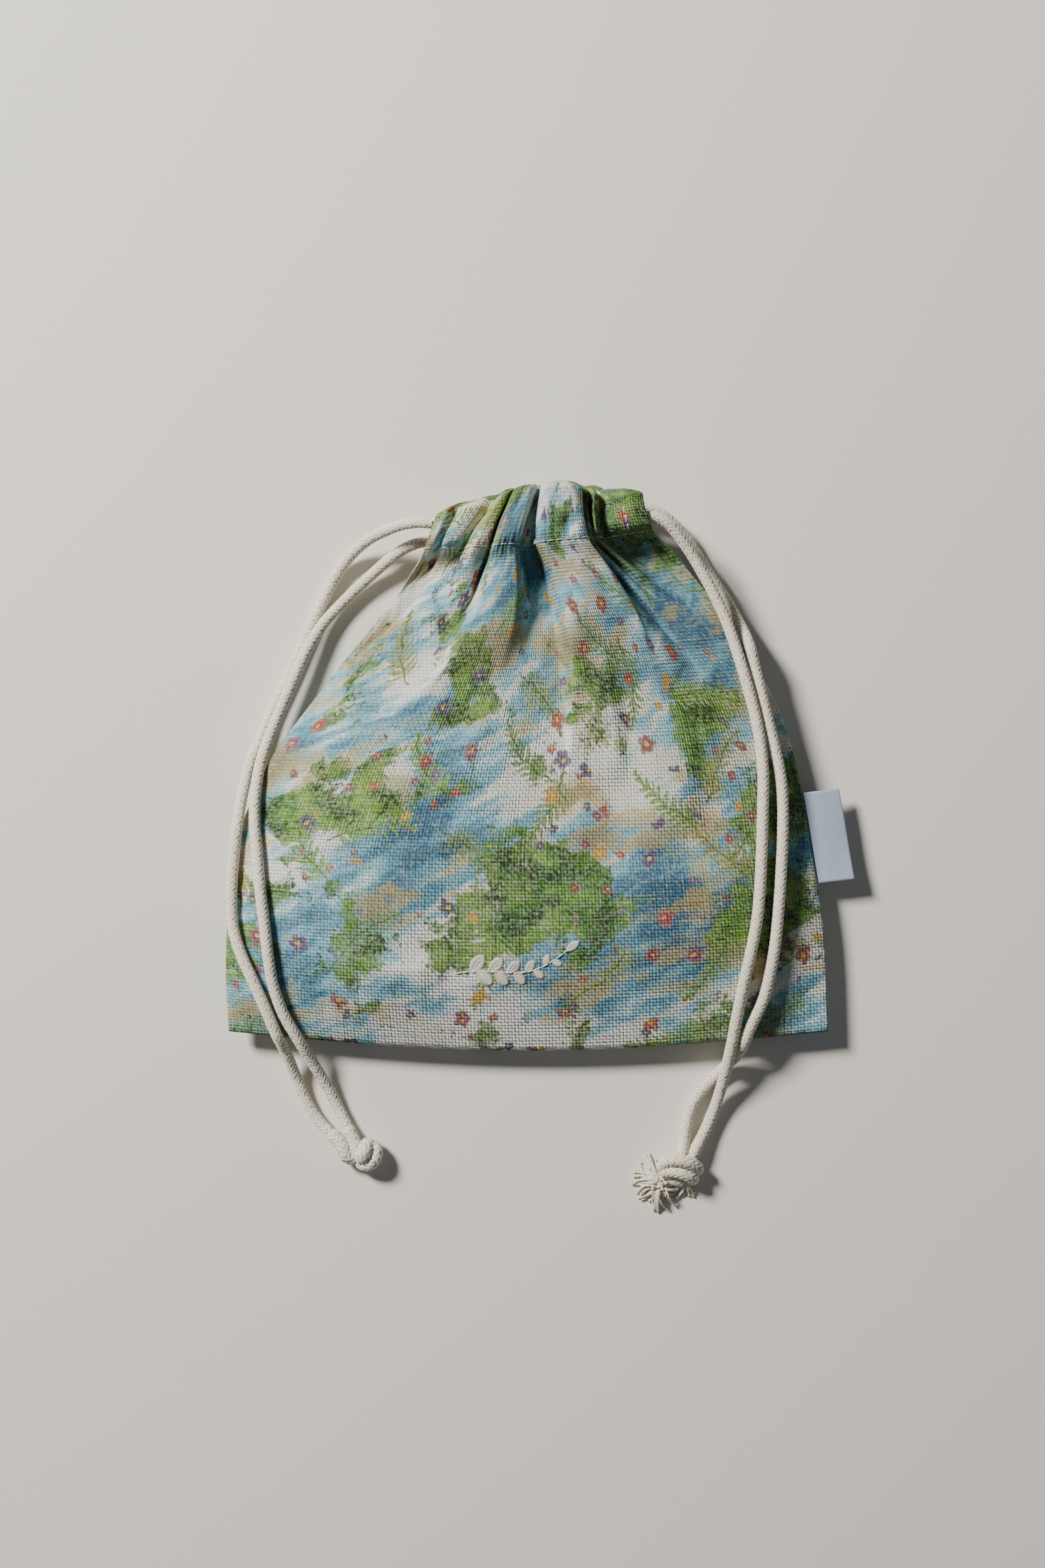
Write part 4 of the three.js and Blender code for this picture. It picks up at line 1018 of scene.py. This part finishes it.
sprig = []
for index in range(stem_stitches):
    start, end = stem_point(index / stem_stitches), stem_point((index + 0.94) / stem_stitches)
    sprig.append(embroidery_stitch(start, end))
for index, share in enumerate((0.14, 0.3, 0.46, 0.62, 0.78)):
    ahead_x, ahead_y = stem_point(share + 0.02)
    root = stem_point(share)
    heading = atan2(ahead_y - root[1], ahead_x - root[0])
    size = 1 - 0.12 * index
    sprig += leaf_stitches(root, heading + leaf_angle, leaf_length * size, leaf_half_width * size)
    root = stem_point(share + 0.06)
    sprig += leaf_stitches(root, heading - leaf_angle, leaf_length * size * 0.92, leaf_half_width * size)
root = stem_point(0.97)
sprig += leaf_stitches(root, atan2(root[1] - stem_point(0.9)[1], root[0] - stem_point(0.9)[0]),
                       leaf_length * 0.7, leaf_half_width * 0.6)
sprig_piece = take_place(new_piece("embroidered_sprig", *join_parts(sprig)), sewing, "canvas")


# The side label is a length of satin ribbon, folded double and caught in the right side seam. Its
# two layers lie nearly together and the fold stands at the free edge.
label_width = 31.0
label_reach = 12.4  # out of the seam
label_layer = 0.22  # thickness of the ribbon
label_top_y = -8.6
label_half = 0.32  # half the thickness of the folded label
label_slant = 0.12
label_droop = 1.4
label_curl = 0.35

satin, tree = new_material("pale blue-grey satin ribbon")
ribbon = add("UVMap", uv_map="cloth")
ribs = noise(ribbon, 1.0, stretch=(1 / 6.0, 1 / 0.35))
surface({
    "Base Color": over("#95a5bd", "#b8c4d6", ribs), "Roughness": 0.42, "Sheen Weight": 0.2,
    "Anisotropic": 0.5, "Normal": bump(ribs, 0.25, 0.0001),
})

flat_reach = label_reach - label_half
bend = pi * label_half
run = np.concatenate([np.linspace(0, flat_reach, 14), flat_reach + bend * np.linspace(0, 1, 9)[1:],
                      flat_reach + bend + np.linspace(0, flat_reach, 14)[1:]])
width_way, run_way = np.meshgrid(np.linspace(0, label_width, 41), run, indexing="ij")
turn = np.clip((run_way - flat_reach) / label_half, 0, pi)
back_way = np.maximum(run_way - flat_reach - bend, 0)
out = np.minimum(run_way, flat_reach) + label_half * np.sin(turn) - back_way
thick = label_half * np.cos(turn) * smooth(-1.5, 4, out)
y = label_top_y - width_way + label_slant * out
row = through([[rise, row] for row, _, rise in right_edge],
              (label_top_y - width_way - base_corner_y) / right_height)[0]
x = edge_point(right_edge, 1, right_height, row)[0] + seam_gap + out
droop = label_droop * (out / label_reach) ** 2 * (0.6 + 0.4 * np.cos(pi * width_way / label_width))
curl = label_curl * np.sin(2 * pi * width_way / label_width + 0.6) * (out / label_reach) ** 2
label_grid = np.stack([x, y, seam_z(row) - droop + curl + thick], axis=-1)
label = thick_sheet("ribbon_label", label_grid, np.stack([width_way, run_way], axis=-1), -label_layer)
take_place(label, satin, "label", "side_label")


# A pale floor that runs well past the view, and light as from a window at the upper left
floor_width = 6
sky_strength = 0.08

bpy.ops.mesh.primitive_plane_add(size=floor_width)
floor = bpy.context.object
floor.name = "floor"
paper, tree = new_material("matt pale paper")
surface({"Base Color": "#e6e3dd", "Roughness": 0.95, "Specular IOR Level": 0.2})
floor.data.materials.append(paper)


def soft_lamp(name, place, size, power, colour):
    data = bpy.data.lights.new(name, "AREA")
    data.shape = "DISK"
    data.size = size
    data.energy = power
    data.color = linear(colour)[:3]
    lamp = bpy.data.objects.new(name, data)
    lamp.location = place
    lamp.rotation_euler = (-Vector(place)).to_track_quat("-Z", "Y").to_euler()
    bpy.context.collection.objects.link(lamp)


soft_lamp("window", (-1.0, 0.84, 1.06), size=0.4, power=56, colour="#fffaf2")
soft_lamp("room", (1.0, -0.4, 1.9), size=2.4, power=2, colour="#e8f0ff")
world = bpy.data.worlds.new("world")
world.use_nodes = True
world.node_tree.nodes["Background"].inputs["Color"].default_value = linear("#eef1f4")
world.node_tree.nodes["Background"].inputs["Strength"].default_value = sky_strength
bpy.context.scene.world = world
